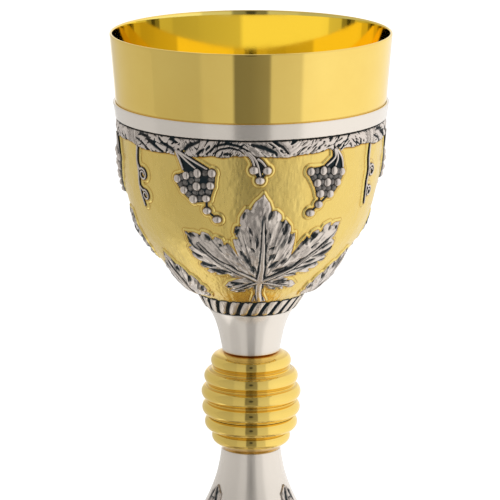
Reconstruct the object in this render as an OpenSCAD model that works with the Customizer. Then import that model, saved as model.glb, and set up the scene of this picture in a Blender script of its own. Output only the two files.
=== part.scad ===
// Communion chalice: a gilt cup in an ornamented bowl shell, on a neck, a ringed
// knop and a flared foot, all drawn together by one threaded rod and nut.
// Millimetres. Origin at the centre of the foot's resting face, +Z up.
// One vine leaf faces -Y; the ornament repeats three times round the bowl.

/* [Node] */
// Sub-part to draw, or "all"

/* [Cup and lip] */
// Height of the lip above the table
cup_top_z = 235; // [232:0.5:240]
// Outer radius of the lip at its edge
lip_r = 52.4; // [51.6:0.1:54]
// Wall of the gilt cup
cup_wall = 1.0; // [0.8:0.1:1.4]

/* [Bowl shell] */
// Wall of the bowl shell
shell_wall = 1.2; // [1.0:0.1:1.4]
// Height of the cast ornament above the shell
relief_t = 1.4; // [1.0:0.1:2.0]
// Extra height of the leaf veins
vein_t = 0.5; // [0.3:0.1:0.8]
// Radius of a grape
grape_r = 1.6; // [1.4:0.05:1.65]

/* [Rope ring] */
// Number of strands round the rope ring
rope_strands = 26; // [22:1:32]
// Radius of the groove between two strands
rope_groove_r = 0.8; // [0.5:0.05:0.9]

/* [Neck and knop] */
// Wall of the spun neck
neck_wall = 1.3; // [1.0:0.1:1.8]
// Radius of the rounded edge of each knop ring
knop_bead_r = 2.85; // [2.4:0.05:2.9]
// Half width of the thin line between two knop rings
knop_line_w = 0.22; // [0.16:0.02:0.26]

/* [Foot] */
// Wall of the foot shell
foot_wall = 1.5; // [1.2:0.1:2.0]
// Outer radius of the foot's plain rim
foot_r = 69.5; // [68:0.5:74]
// Height of the foot's plain rim
foot_rim_h = 9; // [8.5:0.1:10]

/* [Fastening] */
// Radius of the threaded rod
rod_r = 3.0; // [2.8:0.1:3.2]
// Radial clearance of the nut and washers on the rod
rod_gap = 0.05; // [0.03:0.01:0.1]
// Nut size across its flats
nut_flats = 10; // [9:0.5:11]
// Nut thickness
nut_t = 5; // [4:0.5:6]

/* [Hidden] */
$fn = 96;
gold = [0.90, 0.70, 0.28];
silver = [0.72, 0.70, 0.68];
steel = [0.55, 0.56, 0.58];

// Azimuths from -Y, counted towards +X
leaf_turns = [0, 120, 240];
low_leaf_turns = [60, 180, 300];
// The foot is screwed on a little out of line with the bowl
foot_turn = -5;

// Heights of the seams, from the table up
foot_top_z = 75.4;
knop_top_z = 113.5;
neck_top_z = 130;
plate_z = 135.3;
shell_floor_z = 136.5;
band_z = 203.5;
band_top_z = 209.5;
// Clearance between nested walls
nest_gap = 0.1;

// Outlines are [radius, height] stations, joined by a smooth curve.
shell_stations = [
  [20, shell_floor_z], [22, 138], [27, 142], [32.3, 148], [36.9, 154], [41.9, 162],
  [44.9, 170], [47, 178], [48.3, 186], [48.9, 194], [49.2, band_z]
];
// The cup's floor and side up to the shoulder under its lip
cup_stations = [
  [0.01, 139], [8, 139.3], [15, 140.7], [21.5, 143.8], [27.4, 148.4], [32.8, 154],
  [38.4, 162], [42, 170], [44.3, 178], [45.8, 186], [46.7, 194], [47.4, 202]
];
shoulder_stations = [[48.1, 204.6], [49.4, 207.4], [50.2, 210.4]];
neck_stations = [
  [10.8, knop_top_z], [11.3, 118], [12.6, 123.5], [13.9, 127.2], [15.4, neck_top_z]
];
foot_stations = [
  [11.2, foot_top_z], [11.9, 70.5], [13.1, 65], [15, 59.5], [17.7, 53.5], [21.6, 47],
  [27.2, 39.8], [34.5, 32.5], [43.5, 25.3], [53, 18.6], [61, 13], [66, foot_rim_h]
];
// Knop rings from the top: [outer radius, height]
knop_rings = [
  [15.2, 109.5], [17.8, 103.5], [18.85, 97.5], [18.6, 91.4], [17.6, 85.6], [14.9, 80.2]
];

// Half outlines of the leaves: [distance across the surface, height]
leaf_stem_r = [[3.2, 137.6], [1.7, 139.5], [1.4, 144.8]];
leaf_low_lobe = [[5, 143.6], [9, 144], [12, 143.6], [14, 145.8], [12, 147.8], [8.5, 149.4]];
leaf_side_low = [
  [11.5, 149.8], [16, 150.2], [19.5, 151], [18.8, 152], [24, 154.4], [26.8, 156.3],
  [25.8, 157.6], [29.8, 162.6], [29, 163.6]
];
leaf_side_top = [
  [31, 169.8], [26.5, 169.8], [25.8, 168.6], [22, 168.4], [21.4, 167], [17.2, 166.4],
  [11.2, 159.6]
];
leaf_middle = [
  [12.4, 166.4], [11.4, 167], [12, 171], [10.6, 171.4], [9.6, 175], [8, 175],
  [6.6, 178.4], [5, 178.4], [0, 183.6]
];
leaf_half = concat(leaf_stem_r, leaf_low_lobe, leaf_side_low, leaf_side_top, leaf_middle);
low_leaf_half = [
  [9.6, 137.4], [10.8, 140.2], [9.6, 141.8], [9.8, 144.6], [7.2, 145.4], [7, 148.6],
  [4, 149.8], [3.6, 152.6], [0, 155.6]
];
// The same leaf stands on the foot, its tip under the knop
foot_leaf_half = [
  [3.4, 22], [2, 25], [6, 25.2], [12, 26.6], [16.6, 29.4], [12.5, 31.4], [17.4, 34.6],
  [21.4, 38], [18, 39], [15.6, 41], [10.8, 39.4], [10.2, 43.4], [8.6, 44.4], [7.4, 48.2],
  [5.4, 49.2], [5.4, 54.4], [3.8, 55.6], [3.2, 59.6], [0, 62.4]
];

// Veins of a leaf: [foot, tip], each as [across, height]
leaf_veins = [
  [[0, 138], [0, 178]],
  [[0, 149], [24, 163]], [[0, 149], [-24, 163]],
  [[0, 147.6], [10.5, 145.8]], [[0, 147.6], [-10.5, 145.8]]
];
low_leaf_veins = [[[0, 138.5], [0, 152]]];
foot_leaf_veins = [
  [[0, 23], [0, 57]], [[0, 32], [15, 37]], [[0, 32], [-15, 37]]
];
vein_w = 1.8;

// Grapes of one bunch: [across, height]; the last two hang as its tail
bunch_stations = [
  [-6.6, 188.1], [-3, 189.6], [1.6, 190.9], [7, 191.2], [-4.1, 184.2], [1.1, 186],
  [6.3, 186.6], [-0.5, 181.1], [4.4, 181.7], [4.3, 177], [7.7, 173.9]
];
sprig_stations = [[-3, 192.4], [1.6, 192], [-0.9, 188.6]];
foot_bunch_stations = [
  [-5.2, 36.2], [-1.7, 36.6], [1.7, 36.6], [5.2, 36.2], [-3.5, 33.8], [0, 34], [3.5, 33.8],
  [-1.8, 31.4], [1.8, 31.4], [0, 29], [0, 26.2]
];
// Gap left between a grape and the wall behind it
grape_lift = 0.05;

// ---- curves -------------------------------------------------------------

// Smooth curve through stations, with a fixed number of steps to each span
function station(s, i) = s[max(0, min(len(s) - 1, i))];
function blend4(a, b, c, d, t) =
  0.5 * (2 * b + (c - a) * t + (2 * a - 5 * b + 4 * c - d) * t * t
  + (3 * b - a - 3 * c + d) * t * t * t);
function smooth_path(s, steps) = concat(
  [for (i = [0 : len(s) - 2], k = [0 : steps - 1])
    blend4(station(s, i - 1), station(s, i), station(s, i + 1), station(s, i + 2), k / steps)],
  [s[len(s) - 1]]
);
// The same path moved sideways: positive towards the axis
function path_normal(p, i) =
  let (t = station(p, i + 1) - station(p, i - 1))
  [-t[1], t[0]] / norm(t);
function moved(p, d) = [for (i = [0 : len(p) - 1]) p[i] + d * path_normal(p, i)];
function reversed(p) = [for (i = [len(p) - 1 : -1 : 0]) p[i]];
function mirrored(p) = [for (q = reversed(p)) [-q[0], q[1]]];
// Radius of a path at a height
function radius_at(p, z) = lookup(z, [for (q = p) [q[1], q[0]]]);
// A point given by its distance across the surface, seen square-on
function seen_flat(q, p) =
  let (r = radius_at(p, q[1]))
  [r * sin(q[0] / r * 180 / PI), q[1]];
function seen_outline(half, p) =
  [for (q = concat(half, mirrored([for (i = [0 : len(half) - 2]) half[i]]))) seen_flat(q, p)];

shell_path = smooth_path(shell_stations, 4);
cup_path = concat(smooth_path(cup_stations, 4), shoulder_stations, [[lip_r, cup_top_z]]);
neck_path = smooth_path(neck_stations, 4);
foot_path = smooth_path(foot_stations, 4);

// ---- shared solids ------------------------------------------------------

module turned(points) {
  rotate_extrude() polygon(points);
}

// Turns its children, drawn facing -Y, round to an azimuth
module at_turn(azimuth) {
  rotate([0, 0, azimuth]) children();
}

// Pushes a flat outline straight out of the axis towards -Y
module pushed_out(reach) {
  rotate([90, 0, 0]) linear_extrude(height = reach) children();
}

// A layer of ornament lying on a turned surface
module relief_layer(path, thickness) {
  turned(concat(path, reversed(moved(path, -thickness))));
}

// The bowl as one solid, to trim the rope ring that it sits in
module bowl_envelope() {
  turned(concat([[0, plate_z], [20, plate_z]], shell_path, [[0, band_z]]));
}

module vein_strip(a, b, path) {
  p = seen_flat(a, path);
  q = seen_flat(b, path);
  side = vein_w / 2 * [-(q - p)[1], (q - p)[0]] / norm(q - p);
  polygon([p + side, p - side, q - side / 2, q + side / 2]);
}

module leaf_on(half, veins, path, reach) {
  intersection() {
    relief_layer(path, relief_t);
    pushed_out(reach) polygon(seen_outline(half, path));
  }
  intersection() {
    relief_layer(path, relief_t + vein_t);
    pushed_out(reach) {
      for (v = veins) {
        vein_strip(v[0], v[1], path);
      }
    }
  }
}

// A grape that rests on a wall; on the foot, the wall's slope sets it further out
module grape_at(q, path, slope = 0) {
  r = radius_at(path, q[1]) + (grape_r + grape_lift) * norm([1, slope]);
  rotate([0, 0, q[0] / r * 180 / PI]) translate([0, -r, q[1]]) rotate([0, 0, -90])
    sphere(grape_r);
}

// ---- cup and bowl -------------------------------------------------------

module cup() {
  color(gold) turned(concat(
    [[0, 139]], cup_path, [[lip_r - cup_wall, cup_top_z]],
    reversed([for (i = [1 : len(cup_path) - 2]) moved(cup_path, cup_wall)[i]]),
    [[0, 139 + cup_wall]]
  ));
}

boss_flange_r = 10;
boss_r = 6;
boss_low_z = 126;
rod_top_z = 136;
module cup_boss() {
  color(gold) difference() {
    union() {
      translate([0, 0, shell_floor_z]) cylinder(r = boss_flange_r, h = 5);
      translate([0, 0, boss_low_z]) cylinder(r = boss_r, h = 12);
    }
    turned(concat([[0, 139]], cup_path, [[0, cup_top_z]]));
    translate([0, 0, boss_low_z - 1]) cylinder(r = rod_r, h = rod_top_z - boss_low_z + 1);
  }
}

module bowl_shell() {
  color(gold) turned(concat(
    [[boss_r + nest_gap, plate_z], [20, plate_z]], shell_path,
    [[radius_at(shell_path, band_z) - shell_wall, band_z]],
    reversed([
      for (q = moved(shell_path, shell_wall)) if (q[1] > shell_floor_z + 1.2 && q[1] < band_z - 1) q
    ]),
    [[18.6, shell_floor_z], [boss_r + nest_gap, shell_floor_z]]
  ));
}

module rim_band() {
  inner = [for (q = concat([[47.9, band_z]], shoulder_stations)) if (q[1] < band_top_z) q];
  color(silver) turned(concat(
    [for (q = inner) q + [nest_gap, 0]], [[50.1, band_top_z], [51.3, band_top_z]],
    [[51.7, 209], [51.7, 208.3], [51.2, 207.8], [50.9, 206], [50.4, band_z]]
  ));
}

// Scallops along the lower edge of the vine: [azimuth, height, radius]
vine_scallops = [
  [-52, 187.6, 8], [-40, 190.4, 4.6], [-12, 189, 7.4], [8, 190.6, 5], [20, 188.6, 7],
  [44, 190.4, 5.4], [55, 189.4, 6]
];
vine_low_z = 194;
module vine_band() {
  color(silver) difference() {
    relief_layer([for (q = shell_path) if (q[1] >= vine_low_z) q], relief_t);
    for (turn = leaf_turns, c = vine_scallops) {
      at_turn(turn + c[0]) translate([0, 0, c[1]]) rotate([90, 0, 0]) cylinder(r = c[2], h = 60);
    }
  }
}

module leaf(turn) {
  color(silver) at_turn(turn) leaf_on(leaf_half, leaf_veins, shell_path, 60);
}

module low_leaf(turn) {
  color(silver) at_turn(turn) leaf_on(low_leaf_half, low_leaf_veins, shell_path, 60);
}

// Bunches hang 30 degrees either side of each leaf, their tails towards it
bunch_backing = [
  [-7.6, 187.6], [-6.4, 190], [-2, 192.4], [1.6, 193], [7.4, 192.4], [8, 190], [7, 185],
  [5.6, 181], [5, 177.4], [8.4, 174.6], [7.2, 172.8], [3.4, 176], [2.6, 180], [-1, 179.6],
  [-3.4, 182], [-5.4, 184]
];
module bunch() {
  for (q = bunch_stations) {
    grape_at(q, shell_path);
  }
  intersection() {
    relief_layer(shell_path, relief_t);
    pushed_out(60) polygon(bunch_backing);
  }
}

module grapes(turn, hand) {
  color(silver) at_turn(turn) {
    if (hand > 0) {
      bunch();
    } else {
      mirror([1, 0, 0]) bunch();
    }
  }
}

module sprig(turn) {
  color(silver) at_turn(turn) {
    for (q = sprig_stations) {
      grape_at(q, shell_path);
    }
    intersection() {
      relief_layer(shell_path, relief_t);
      pushed_out(60) polygon([[-3.4, 193.4], [2, 193.4], [0, 188], [-1.8, 188]]);
    }
  }
}

curl_r = 2.3;
wire_r = 0.55;
module curl(centre) {
  translate(centre) difference() {
    circle(curl_r);
    circle(curl_r - 2 * wire_r);
    translate([-2 * curl_r, -curl_r]) square([1.8 * curl_r, 0.9 * curl_r]);
  }
}

module tendril(turn) {
  color(silver) at_turn(turn) intersection() {
    relief_layer(shell_path, relief_t);
    pushed_out(60) {
      polygon([[-2.4, 193.4], [-1.2, 193.4], [-1.2, 184], [-3, 178], [-4.2, 178.4], [-2.4, 184.4]]);
      curl([0.5, 187]);
      curl([-1.3, 178]);
    }
  }
}

// ---- rope ring, neck and knop --------------------------------------------

rope_bottom_r = 15.4;
rope_top_r = 19.9;
rope_top_z = 136.9;
rope_inner_r = 12.5;
// Radius of the grooves' middles, how far the ring's face leans out, and their slant on it
rope_groove_at = 17.95;
rope_lean = 34;
rope_slant = 36;
module rope_ring() {
  mid_z = (neck_top_z + rope_top_z) / 2;
  color(silver) difference() {
    turned([
      [rope_inner_r, neck_top_z], [rope_bottom_r, neck_top_z], [16.4, 131], [17.8, 132.8],
      [19.1, 134.8], [rope_top_r, 136.2], [19.6, rope_top_z], [rope_inner_r, rope_top_z]
    ]);
    bowl_envelope();
    for (k = [0 : rope_strands - 1]) {
      at_turn(k * 360 / rope_strands) translate([0, -rope_groove_at, mid_z])
        rotate([rope_lean, 0, 0]) rotate([0, rope_slant, 0])
        cylinder(r = rope_groove_r, h = 14, center = true);
    }
  }
}

neck_floor_t = 2;
module neck() {
  color(silver) turned(concat(
    [[rod_r + nest_gap, knop_top_z]], neck_path,
    [[radius_at(neck_path, neck_top_z) - 1.5 * neck_wall, neck_top_z]],
    reversed([
      for (q = moved(neck_path, neck_wall))
        if (q[1] > knop_top_z + neck_floor_t && q[1] < neck_top_z - 0.5) q
    ]),
    [[9.6, knop_top_z + neck_floor_t], [rod_r + nest_gap, knop_top_z + neck_floor_t]]
  ));
}

// Depths under the crest of a groove's floor and of the flat line that stands on it
knop_groove_depth = 1.8;
knop_line_depth = 1.45;
// A bead is a part of a circle; it ends this far either side of its crest, in degrees
bead_end = 60;
bead_steps = 10;
function bead(k) = [
  for (i = [0 : bead_steps])
    let (turn = bead_end * (1 - 2 * i / bead_steps))
    k - [knop_bead_r, 0] + knop_bead_r * [cos(turn), sin(turn)]
];
function groove_line(a, b) =
  let (m = (a + b) / 2)
  [
    m + [-knop_groove_depth, 2 * knop_line_w], m + [-knop_line_depth, knop_line_w],
    m + [-knop_line_depth, -knop_line_w], m + [-knop_groove_depth, -2 * knop_line_w]
  ];
module knop() {
  rings = [
    for (i = [0 : len(knop_rings) - 1])
      each concat(
        bead(knop_rings[i]),
        i < len(knop_rings) - 1 ? groove_line(knop_rings[i], knop_rings[i + 1]) : []
      )
  ];
  color(gold) turned(concat(
    [[rod_r + nest_gap, knop_top_z], [10.4, knop_top_z]], rings,
    [[12.4, 76.9], [11.5, 76.2], [11.2, foot_top_z], [rod_r + nest_gap, foot_top_z]]
  ));
}

// ---- foot -----------------------------------------------------------------

foot_plate_t = 1.6;
module foot_shell() {
  color(silver) turned(concat(
    [[rod_r + nest_gap, foot_top_z]], foot_path,
    reversed([for (q = moved(foot_path, -foot_wall)) if (q[1] < foot_top_z - foot_plate_t - 1) q]),
    [[9.5, foot_top_z - foot_plate_t], [rod_r + nest_gap, foot_top_z - foot_plate_t]]
  ));
}

module foot_rim() {
  hem = moved(foot_path, -foot_wall)[len(foot_path) - 1];
  color(silver) turned([
    [foot_r - 4.5, 0], [foot_r, 0], [foot_r, 2.2], [foot_r - 0.9, 3.2], [foot_r - 0.9, 5.4],
    [foot_r - 1.6, 6.6], [foot_r - 2.6, 8], [66, foot_rim_h], hem, [64.4, 5]
  ]);
}

module foot_leaf(turn) {
  color(silver) at_turn(turn + foot_turn)
    leaf_on(foot_leaf_half, foot_leaf_veins, reversed(foot_path), 75);
}

foot_bunch_backing = [
  [-6.4, 34.6], [-5, 37.4], [0, 40], [5, 37.4], [6.4, 34.6], [0.9, 23], [-0.9, 23]
];
module foot_grapes(turn) {
  wall = reversed(foot_path);
  color(silver) at_turn(turn + foot_turn) {
    for (q = foot_bunch_stations) {
      grape_at(q, wall, radius_at(wall, q[1] + 1) - radius_at(wall, q[1]));
    }
    intersection() {
      relief_layer(wall, relief_t);
      pushed_out(75) polygon(foot_bunch_backing);
    }
  }
}

// ---- fastening --------------------------------------------------------------

washer_t = 1.6;
washer_r = 9;
lock_washer_t = 1.6;
lock_washer_r = 5.9;
rod_low_z = 58;
washer_z = foot_top_z - foot_plate_t - washer_t;
lock_washer_z = washer_z - lock_washer_t;
nut_z = lock_washer_z - nut_t;

module ring_piece(outer_r, z, t) {
  translate([0, 0, z]) difference() {
    cylinder(r = outer_r, h = t);
    translate([0, 0, -1]) cylinder(r = rod_r + rod_gap, h = t + 2);
  }
}

module tie_rod() {
  color(steel) translate([0, 0, rod_low_z]) {
    cylinder(r = rod_r, h = rod_top_z - rod_low_z);
  }
}

module washer() {
  color(steel) ring_piece(washer_r, washer_z, washer_t);
}

module lock_washer() {
  color(steel) ring_piece(lock_washer_r, lock_washer_z, lock_washer_t);
}

module nut() {
  color(steel) translate([0, 0, nut_z]) difference() {
    cylinder(r = nut_flats / 2 / cos(30), h = nut_t, $fn = 6);
    translate([0, 0, -1]) cylinder(r = rod_r + rod_gap, h = nut_t + 2);
  }
}

// ---- nodes --------------------------------------------------------------------

cup();
cup_boss();
bowl_shell();
rim_band();
vine_band();
leaf(leaf_turns[0]);  // leaf_front
leaf(leaf_turns[1]);  // leaf_right
leaf(leaf_turns[2]);  // leaf_left
low_leaf(low_leaf_turns[0]);  // low_leaf_right
low_leaf(low_leaf_turns[1]);  // low_leaf_back
low_leaf(low_leaf_turns[2]);  // low_leaf_left
grapes(-30, 1);  // grapes_1
grapes(30, -1);  // grapes_2
grapes(90, 1);  // grapes_3
grapes(150, -1);  // grapes_4
grapes(210, 1);  // grapes_5
grapes(270, -1);  // grapes_6
sprig(leaf_turns[0]);  // sprig_front
sprig(leaf_turns[1]);  // sprig_right
sprig(leaf_turns[2]);  // sprig_left
tendril(low_leaf_turns[0]);  // tendril_right
tendril(low_leaf_turns[1]);  // tendril_back
tendril(low_leaf_turns[2]);  // tendril_left
rope_ring();
neck();
knop();
foot_shell();
foot_rim();
foot_leaf(low_leaf_turns[0]);  // foot_leaf_1
foot_leaf(low_leaf_turns[1]);  // foot_leaf_2
foot_leaf(low_leaf_turns[2]);  // foot_leaf_3
foot_grapes(leaf_turns[0]);  // foot_grapes_1
foot_grapes(leaf_turns[1]);  // foot_grapes_2
foot_grapes(leaf_turns[2]);  // foot_grapes_3
tie_rod();
washer();
lock_washer();
nut();
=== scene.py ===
"""Communion chalice: the looks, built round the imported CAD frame.

Lengths are millimetres until a point becomes a vertex. An azimuth is counted from -Y towards
+X. Ornament is drawn flat: across the surface, and by height, then laid on its turned wall.
"""

import math

import bpy
import numpy as np
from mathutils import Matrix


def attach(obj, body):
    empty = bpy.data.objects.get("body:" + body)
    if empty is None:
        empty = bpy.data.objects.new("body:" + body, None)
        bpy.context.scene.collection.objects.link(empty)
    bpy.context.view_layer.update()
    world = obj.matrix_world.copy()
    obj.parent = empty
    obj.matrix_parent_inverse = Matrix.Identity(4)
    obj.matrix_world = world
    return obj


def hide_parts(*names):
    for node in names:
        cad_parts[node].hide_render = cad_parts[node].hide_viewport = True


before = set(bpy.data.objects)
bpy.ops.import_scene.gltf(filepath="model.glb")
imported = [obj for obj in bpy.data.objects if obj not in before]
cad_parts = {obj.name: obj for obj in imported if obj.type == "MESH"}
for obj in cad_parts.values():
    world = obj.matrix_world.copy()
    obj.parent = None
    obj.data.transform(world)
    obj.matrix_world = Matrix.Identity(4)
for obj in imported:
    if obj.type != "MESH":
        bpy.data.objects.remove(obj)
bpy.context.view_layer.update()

MM = 0.001
BODY = "chalice"
# Azimuths of the three repeats, and of the viewer who stood a little left of one leaf
LEAF_TURNS = {"front": 0.0, "right": 120.0, "left": 240.0}
LOW_LEAF_TURNS = {"right": 60.0, "back": 180.0, "left": 300.0}
VIEWER_TURN = -5.2
FOOT_TURN = -5.0


# ---- camera -------------------------------------------------------------------------------

CAMERA_PITCH = 13.0
CAMERA_REACH = 1.2018
CAMERA_LENS = 230.4
AIM_Z = 0.15205
# The axis stood this far right of the picture's middle
AXIS_ASIDE = 0.00038


def make_camera():
    turn, pitch = math.radians(VIEWER_TURN), math.radians(CAMERA_PITCH)
    data = bpy.data.cameras.new("Camera")
    data.lens = CAMERA_LENS
    data.sensor_width = 36.0
    data.clip_start = 0.05
    data.clip_end = 60.0
    cam = bpy.data.objects.new("Camera", data)
    bpy.context.scene.collection.objects.link(cam)
    side = np.array([math.cos(turn), math.sin(turn), 0.0])
    back = np.array([math.sin(turn) * math.cos(pitch), -math.cos(turn) * math.cos(pitch),
                     math.sin(pitch)])
    cam.location = np.array([0.0, 0.0, AIM_Z]) + CAMERA_REACH * back - AXIS_ASIDE * side
    cam.rotation_euler = (math.radians(90) - pitch, 0.0, turn)
    bpy.context.scene.camera = cam


make_camera()


# ---- curves and noise -----------------------------------------------------------------------

def smooth_path(stations, steps):
    """Smooth curve through stations, with a fixed number of steps to each span."""
    p = np.array(stations, float)
    padded = np.vstack([p[:1], p, p[-1:]])
    t = (np.arange(steps) / steps)[:, None]
    out = []
    for a, b, c, d in zip(padded, padded[1:], padded[2:], padded[3:]):
        out.append(0.5 * (2 * b + (c - a) * t + (2 * a - 5 * b + 4 * c - d) * t**2
                          + (3 * b - a - 3 * c + d) * t**3))
    return np.vstack(out + [p[-1:]])


def rounded(points, radius, steps=5):
    """A polyline with its corners rounded to a radius, or to half the shorter side if less."""
    p = np.array(points, float)
    out = [p[0]]
    for a, b, c in zip(p, p[1:], p[2:]):
        u, v = a - b, c - b
        lu, lv = np.hypot(*u), np.hypot(*v)
        u, v = u / lu, v / lv
        half = 0.5 * math.acos(max(-1.0, min(1.0, float(u @ v))))
        if half > math.radians(86):
            out.append(b)
            continue
        cut = min(radius / math.tan(half), 0.45 * lu, 0.45 * lv)
        r = cut * math.tan(half)
        centre = b + (u + v) / np.hypot(*(u + v)) * (r / math.sin(half))
        p0, p1 = b + u * cut - centre, b + v * cut - centre
        sweep = math.atan2(p0[0] * p1[1] - p0[1] * p1[0], float(p0 @ p1))
        for k in range(steps + 1):
            w = sweep * k / steps
            out.append(centre + [p0[0] * math.cos(w) - p0[1] * math.sin(w),
                                 p0[0] * math.sin(w) + p0[1] * math.cos(w)])
    return np.array(out + [p[-1]])


LATTICE = np.random.RandomState(11).rand(1024, 256)


def noise(x, y, period_x=1024):
    """Smooth value noise from 0 to 1, one cell to the unit; x may wrap at a whole period."""
    xi, yi = np.floor(x).astype(int), np.floor(y).astype(int)
    fx, fy = x - xi, y - yi
    fx, fy = fx * fx * (3 - 2 * fx), fy * fy * (3 - 2 * fy)
    x0, x1, y0, y1 = xi % period_x, (xi + 1) % period_x, yi % 256, (yi + 1) % 256
    low = LATTICE[x0, y0] * (1 - fx) + LATTICE[x1, y0] * fx
    high = LATTICE[x0, y1] * (1 - fx) + LATTICE[x1, y1] * fx
    return low * (1 - fy) + high * fy


def smoothstep(low, high, x):
    t = np.clip((x - low) / (high - low), 0, 1)
    return t * t * (3 - 2 * t)


def bell(x, width):
    return np.exp(-(x / width) ** 2)


# ---- turned walls ---------------------------------------------------------------------------

class Wall:
    """A turned wall that ornament lies on; its outline runs from the bottom up."""

    def __init__(self, stations):
        path = smooth_path(stations, 24)
        self.r, self.z = path[:, 0], path[:, 1]
        steps = np.hypot(np.diff(self.r), np.diff(self.z))
        self.s = np.concatenate([[0], np.cumsum(steps)])
        dr, dz = np.gradient(self.r, self.s), np.gradient(self.z, self.s)
        long = np.hypot(dr, dz)
        self.nr, self.nz = dz / long, -dr / long

    def up_to(self, z):
        """Distance along the wall to a height."""
        return np.interp(z, self.z, self.s)

    def flat(self, points):
        """Points given as (across, height), turned into (across, distance up the wall)."""
        p = np.array(points, float).reshape(-1, 2)
        return np.stack([p[:, 0], self.up_to(p[:, 1])], 1)

    def radius(self, s):
        return np.interp(s, self.s, self.r)

    def turn_of(self, across, s, azimuth):
        return math.radians(azimuth) + across / self.radius(s)

    def at_turn(self, turn, s, lift):
        """Vertices, in metres, at an angle, a distance up the wall and a height above it."""
        nr, nz = np.interp(s, self.s, self.nr), np.interp(s, self.s, self.nz)
        r = self.radius(s) + lift * nr
        z = np.interp(s, self.s, self.z) + lift * nz
        return np.stack([r * np.sin(turn), -r * np.cos(turn), z], -1) * MM

    def place(self, across, s, lift, azimuth):
        return self.at_turn(self.turn_of(across, s, azimuth), s, lift)


bowl = Wall([
    (20, 136.5), (22, 138), (27, 142), (32.3, 148), (36.9, 154), (41.9, 162), (44.9, 170),
    (47, 178), (48.3, 186), (48.9, 194), (49.2, 203.5),
])
foot = Wall([
    (66, 9), (61, 13), (53, 18.6), (43.5, 25.3), (34.5, 32.5), (27.2, 39.8), (21.6, 47),
    (17.7, 53.5), (15, 59.5), (13.1, 65), (11.9, 70.5), (11.2, 75.4),
])


# ---- meshes ---------------------------------------------------------------------------------

def make_piece(name, vertices, faces, material, nodes, patina_and_painted_light=None):
    """A shown piece that rides on the chalice and stands for CAD nodes."""
    mesh = bpy.data.meshes.new(name)
    mesh.from_pydata(np.asarray(vertices).reshape(-1, 3).tolist(), [], faces)
    mesh.validate()
    mesh.polygons.foreach_set("use_smooth", [True] * len(mesh.polygons))
    if patina_and_painted_light is not None:
        attribute = mesh.attributes.new("patina_and_painted_light", "FLOAT", "POINT")
        attribute.data.foreach_set("value", np.asarray(patina_and_painted_light, np.float32).ravel())
    mesh.materials.append(material)
    obj = bpy.data.objects.new(name, mesh)
    bpy.context.scene.collection.objects.link(obj)
    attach(obj, BODY)
    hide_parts(*nodes)
    return obj


def quads_of(rows, columns, wrap):
    """Faces of a grid of vertices; wrap joins the last column to the first."""
    i = np.arange(rows - 1)[:, None] * columns
    j = np.arange(columns if wrap else columns - 1)[None, :]
    k = (j + 1) % columns
    return np.stack([i + j, i + k, i + columns + k, i + columns + j], -1).reshape(-1, 4)


def turned_mesh(profile, segments):
    """Vertices and faces of an outline (radius, height) turned about the axis."""
    p = np.array(profile, float)
    turn = np.arange(segments) * 2 * math.pi / segments
    r, z = p[:, 0][:, None], p[:, 1][:, None]
    v = np.stack([r * np.sin(turn), -r * np.cos(turn), z + 0 * turn], -1) * MM
    return v.reshape(-1, 3), quads_of(len(p), segments, True)


def turned_piece(name, profile, material, nodes, segments=256, closed=False, patina_and_painted_light=None):
    """The value for patina and painted light, where given, is one for each point of the outline."""
    if patina_and_painted_light is not None:
        patina_and_painted_light = np.repeat(patina_and_painted_light, segments)
    if closed:
        profile = np.vstack([profile, profile[:1]])
    v, f = turned_mesh(profile, segments)
    if closed:
        last = (len(profile) - 1) * segments
        f = np.where(f >= last, f - last, f)
        v = v[:last]
    return make_piece(name, v, f.tolist(), material, nodes, patina_and_painted_light)


class Heap:
    """Several meshes gathered into one."""

    def __init__(self):
        self.v, self.f, self.p, self.n = [], [], [], 0

    def add(self, vertices, faces, patina_and_painted_light):
        v = np.asarray(vertices).reshape(-1, 3)
        self.v.append(v)
        self.f += [[k + self.n for k in face] for face in faces]
        self.p.append(np.broadcast_to(np.asarray(patina_and_painted_light, float).ravel(), (len(v),)))
        self.n += len(v)

    def piece(self, name, material, nodes):
        return make_piece(name, np.vstack(self.v), self.f, material, nodes,
                          np.concatenate(self.p))


def nearest_on(points, a, b):
    """For each point: share along a segment, the nearest point on it, and how far that is."""
    ab = b - a
    t = np.clip(((points - a) @ ab) / max(float(ab @ ab), 1e-9), 0, 1)
    q = a + t[:, None] * ab
    return t, q, np.hypot(*(points - q).T)


class Outline:
    """A closed outline drawn flat: how far inside it points lie, and the nearest point on it."""

    def __init__(self, points):
        self.points = np.array(points, float)
        self.low, self.high = self.points.min(0), self.points.max(0)

    def measure(self, points):
        best = np.full(len(points), 1e9)
        near = np.zeros_like(points)
        inside = np.zeros(len(points), bool)
        x, y = points[:, 0], points[:, 1]
        for a, b in zip(self.points, np.roll(self.points, -1, 0)):
            _, q, d = nearest_on(points, a, b)
            closer = d < best
            best[closer], near[closer] = d[closer], q[closer]
            crosses = (a[1] > y) != (b[1] > y)
            if crosses.any():
                at = a[0] + (y[crosses] - a[1]) / (b[1] - a[1]) * (b[0] - a[0])
                inside[crosses] ^= x[crosses] < at
        return np.where(inside, best, -best), near


class Strands:
    """The region within some distance of a few lines; a line of one point is a spot."""

    def __init__(self, lines, radius):
        self.lines, self.radius = [np.array(line, float) for line in lines], radius
        every = np.vstack(self.lines)
        self.low, self.high = every.min(0) - radius, every.max(0) + radius

    def measure(self, points):
        best = np.full(len(points), 1e9)
        core = np.zeros_like(points)
        for line in self.lines:
            for a, b in zip(line, line[1:] if len(line) > 1 else line):
                _, q, d = nearest_on(points, a, b)
                closer = d < best
                best[closer], core[closer] = d[closer], q[closer]
        away = (points - core) / np.maximum(best, 1e-6)[:, None]
        return self.radius - best, core + away * self.radius


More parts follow.
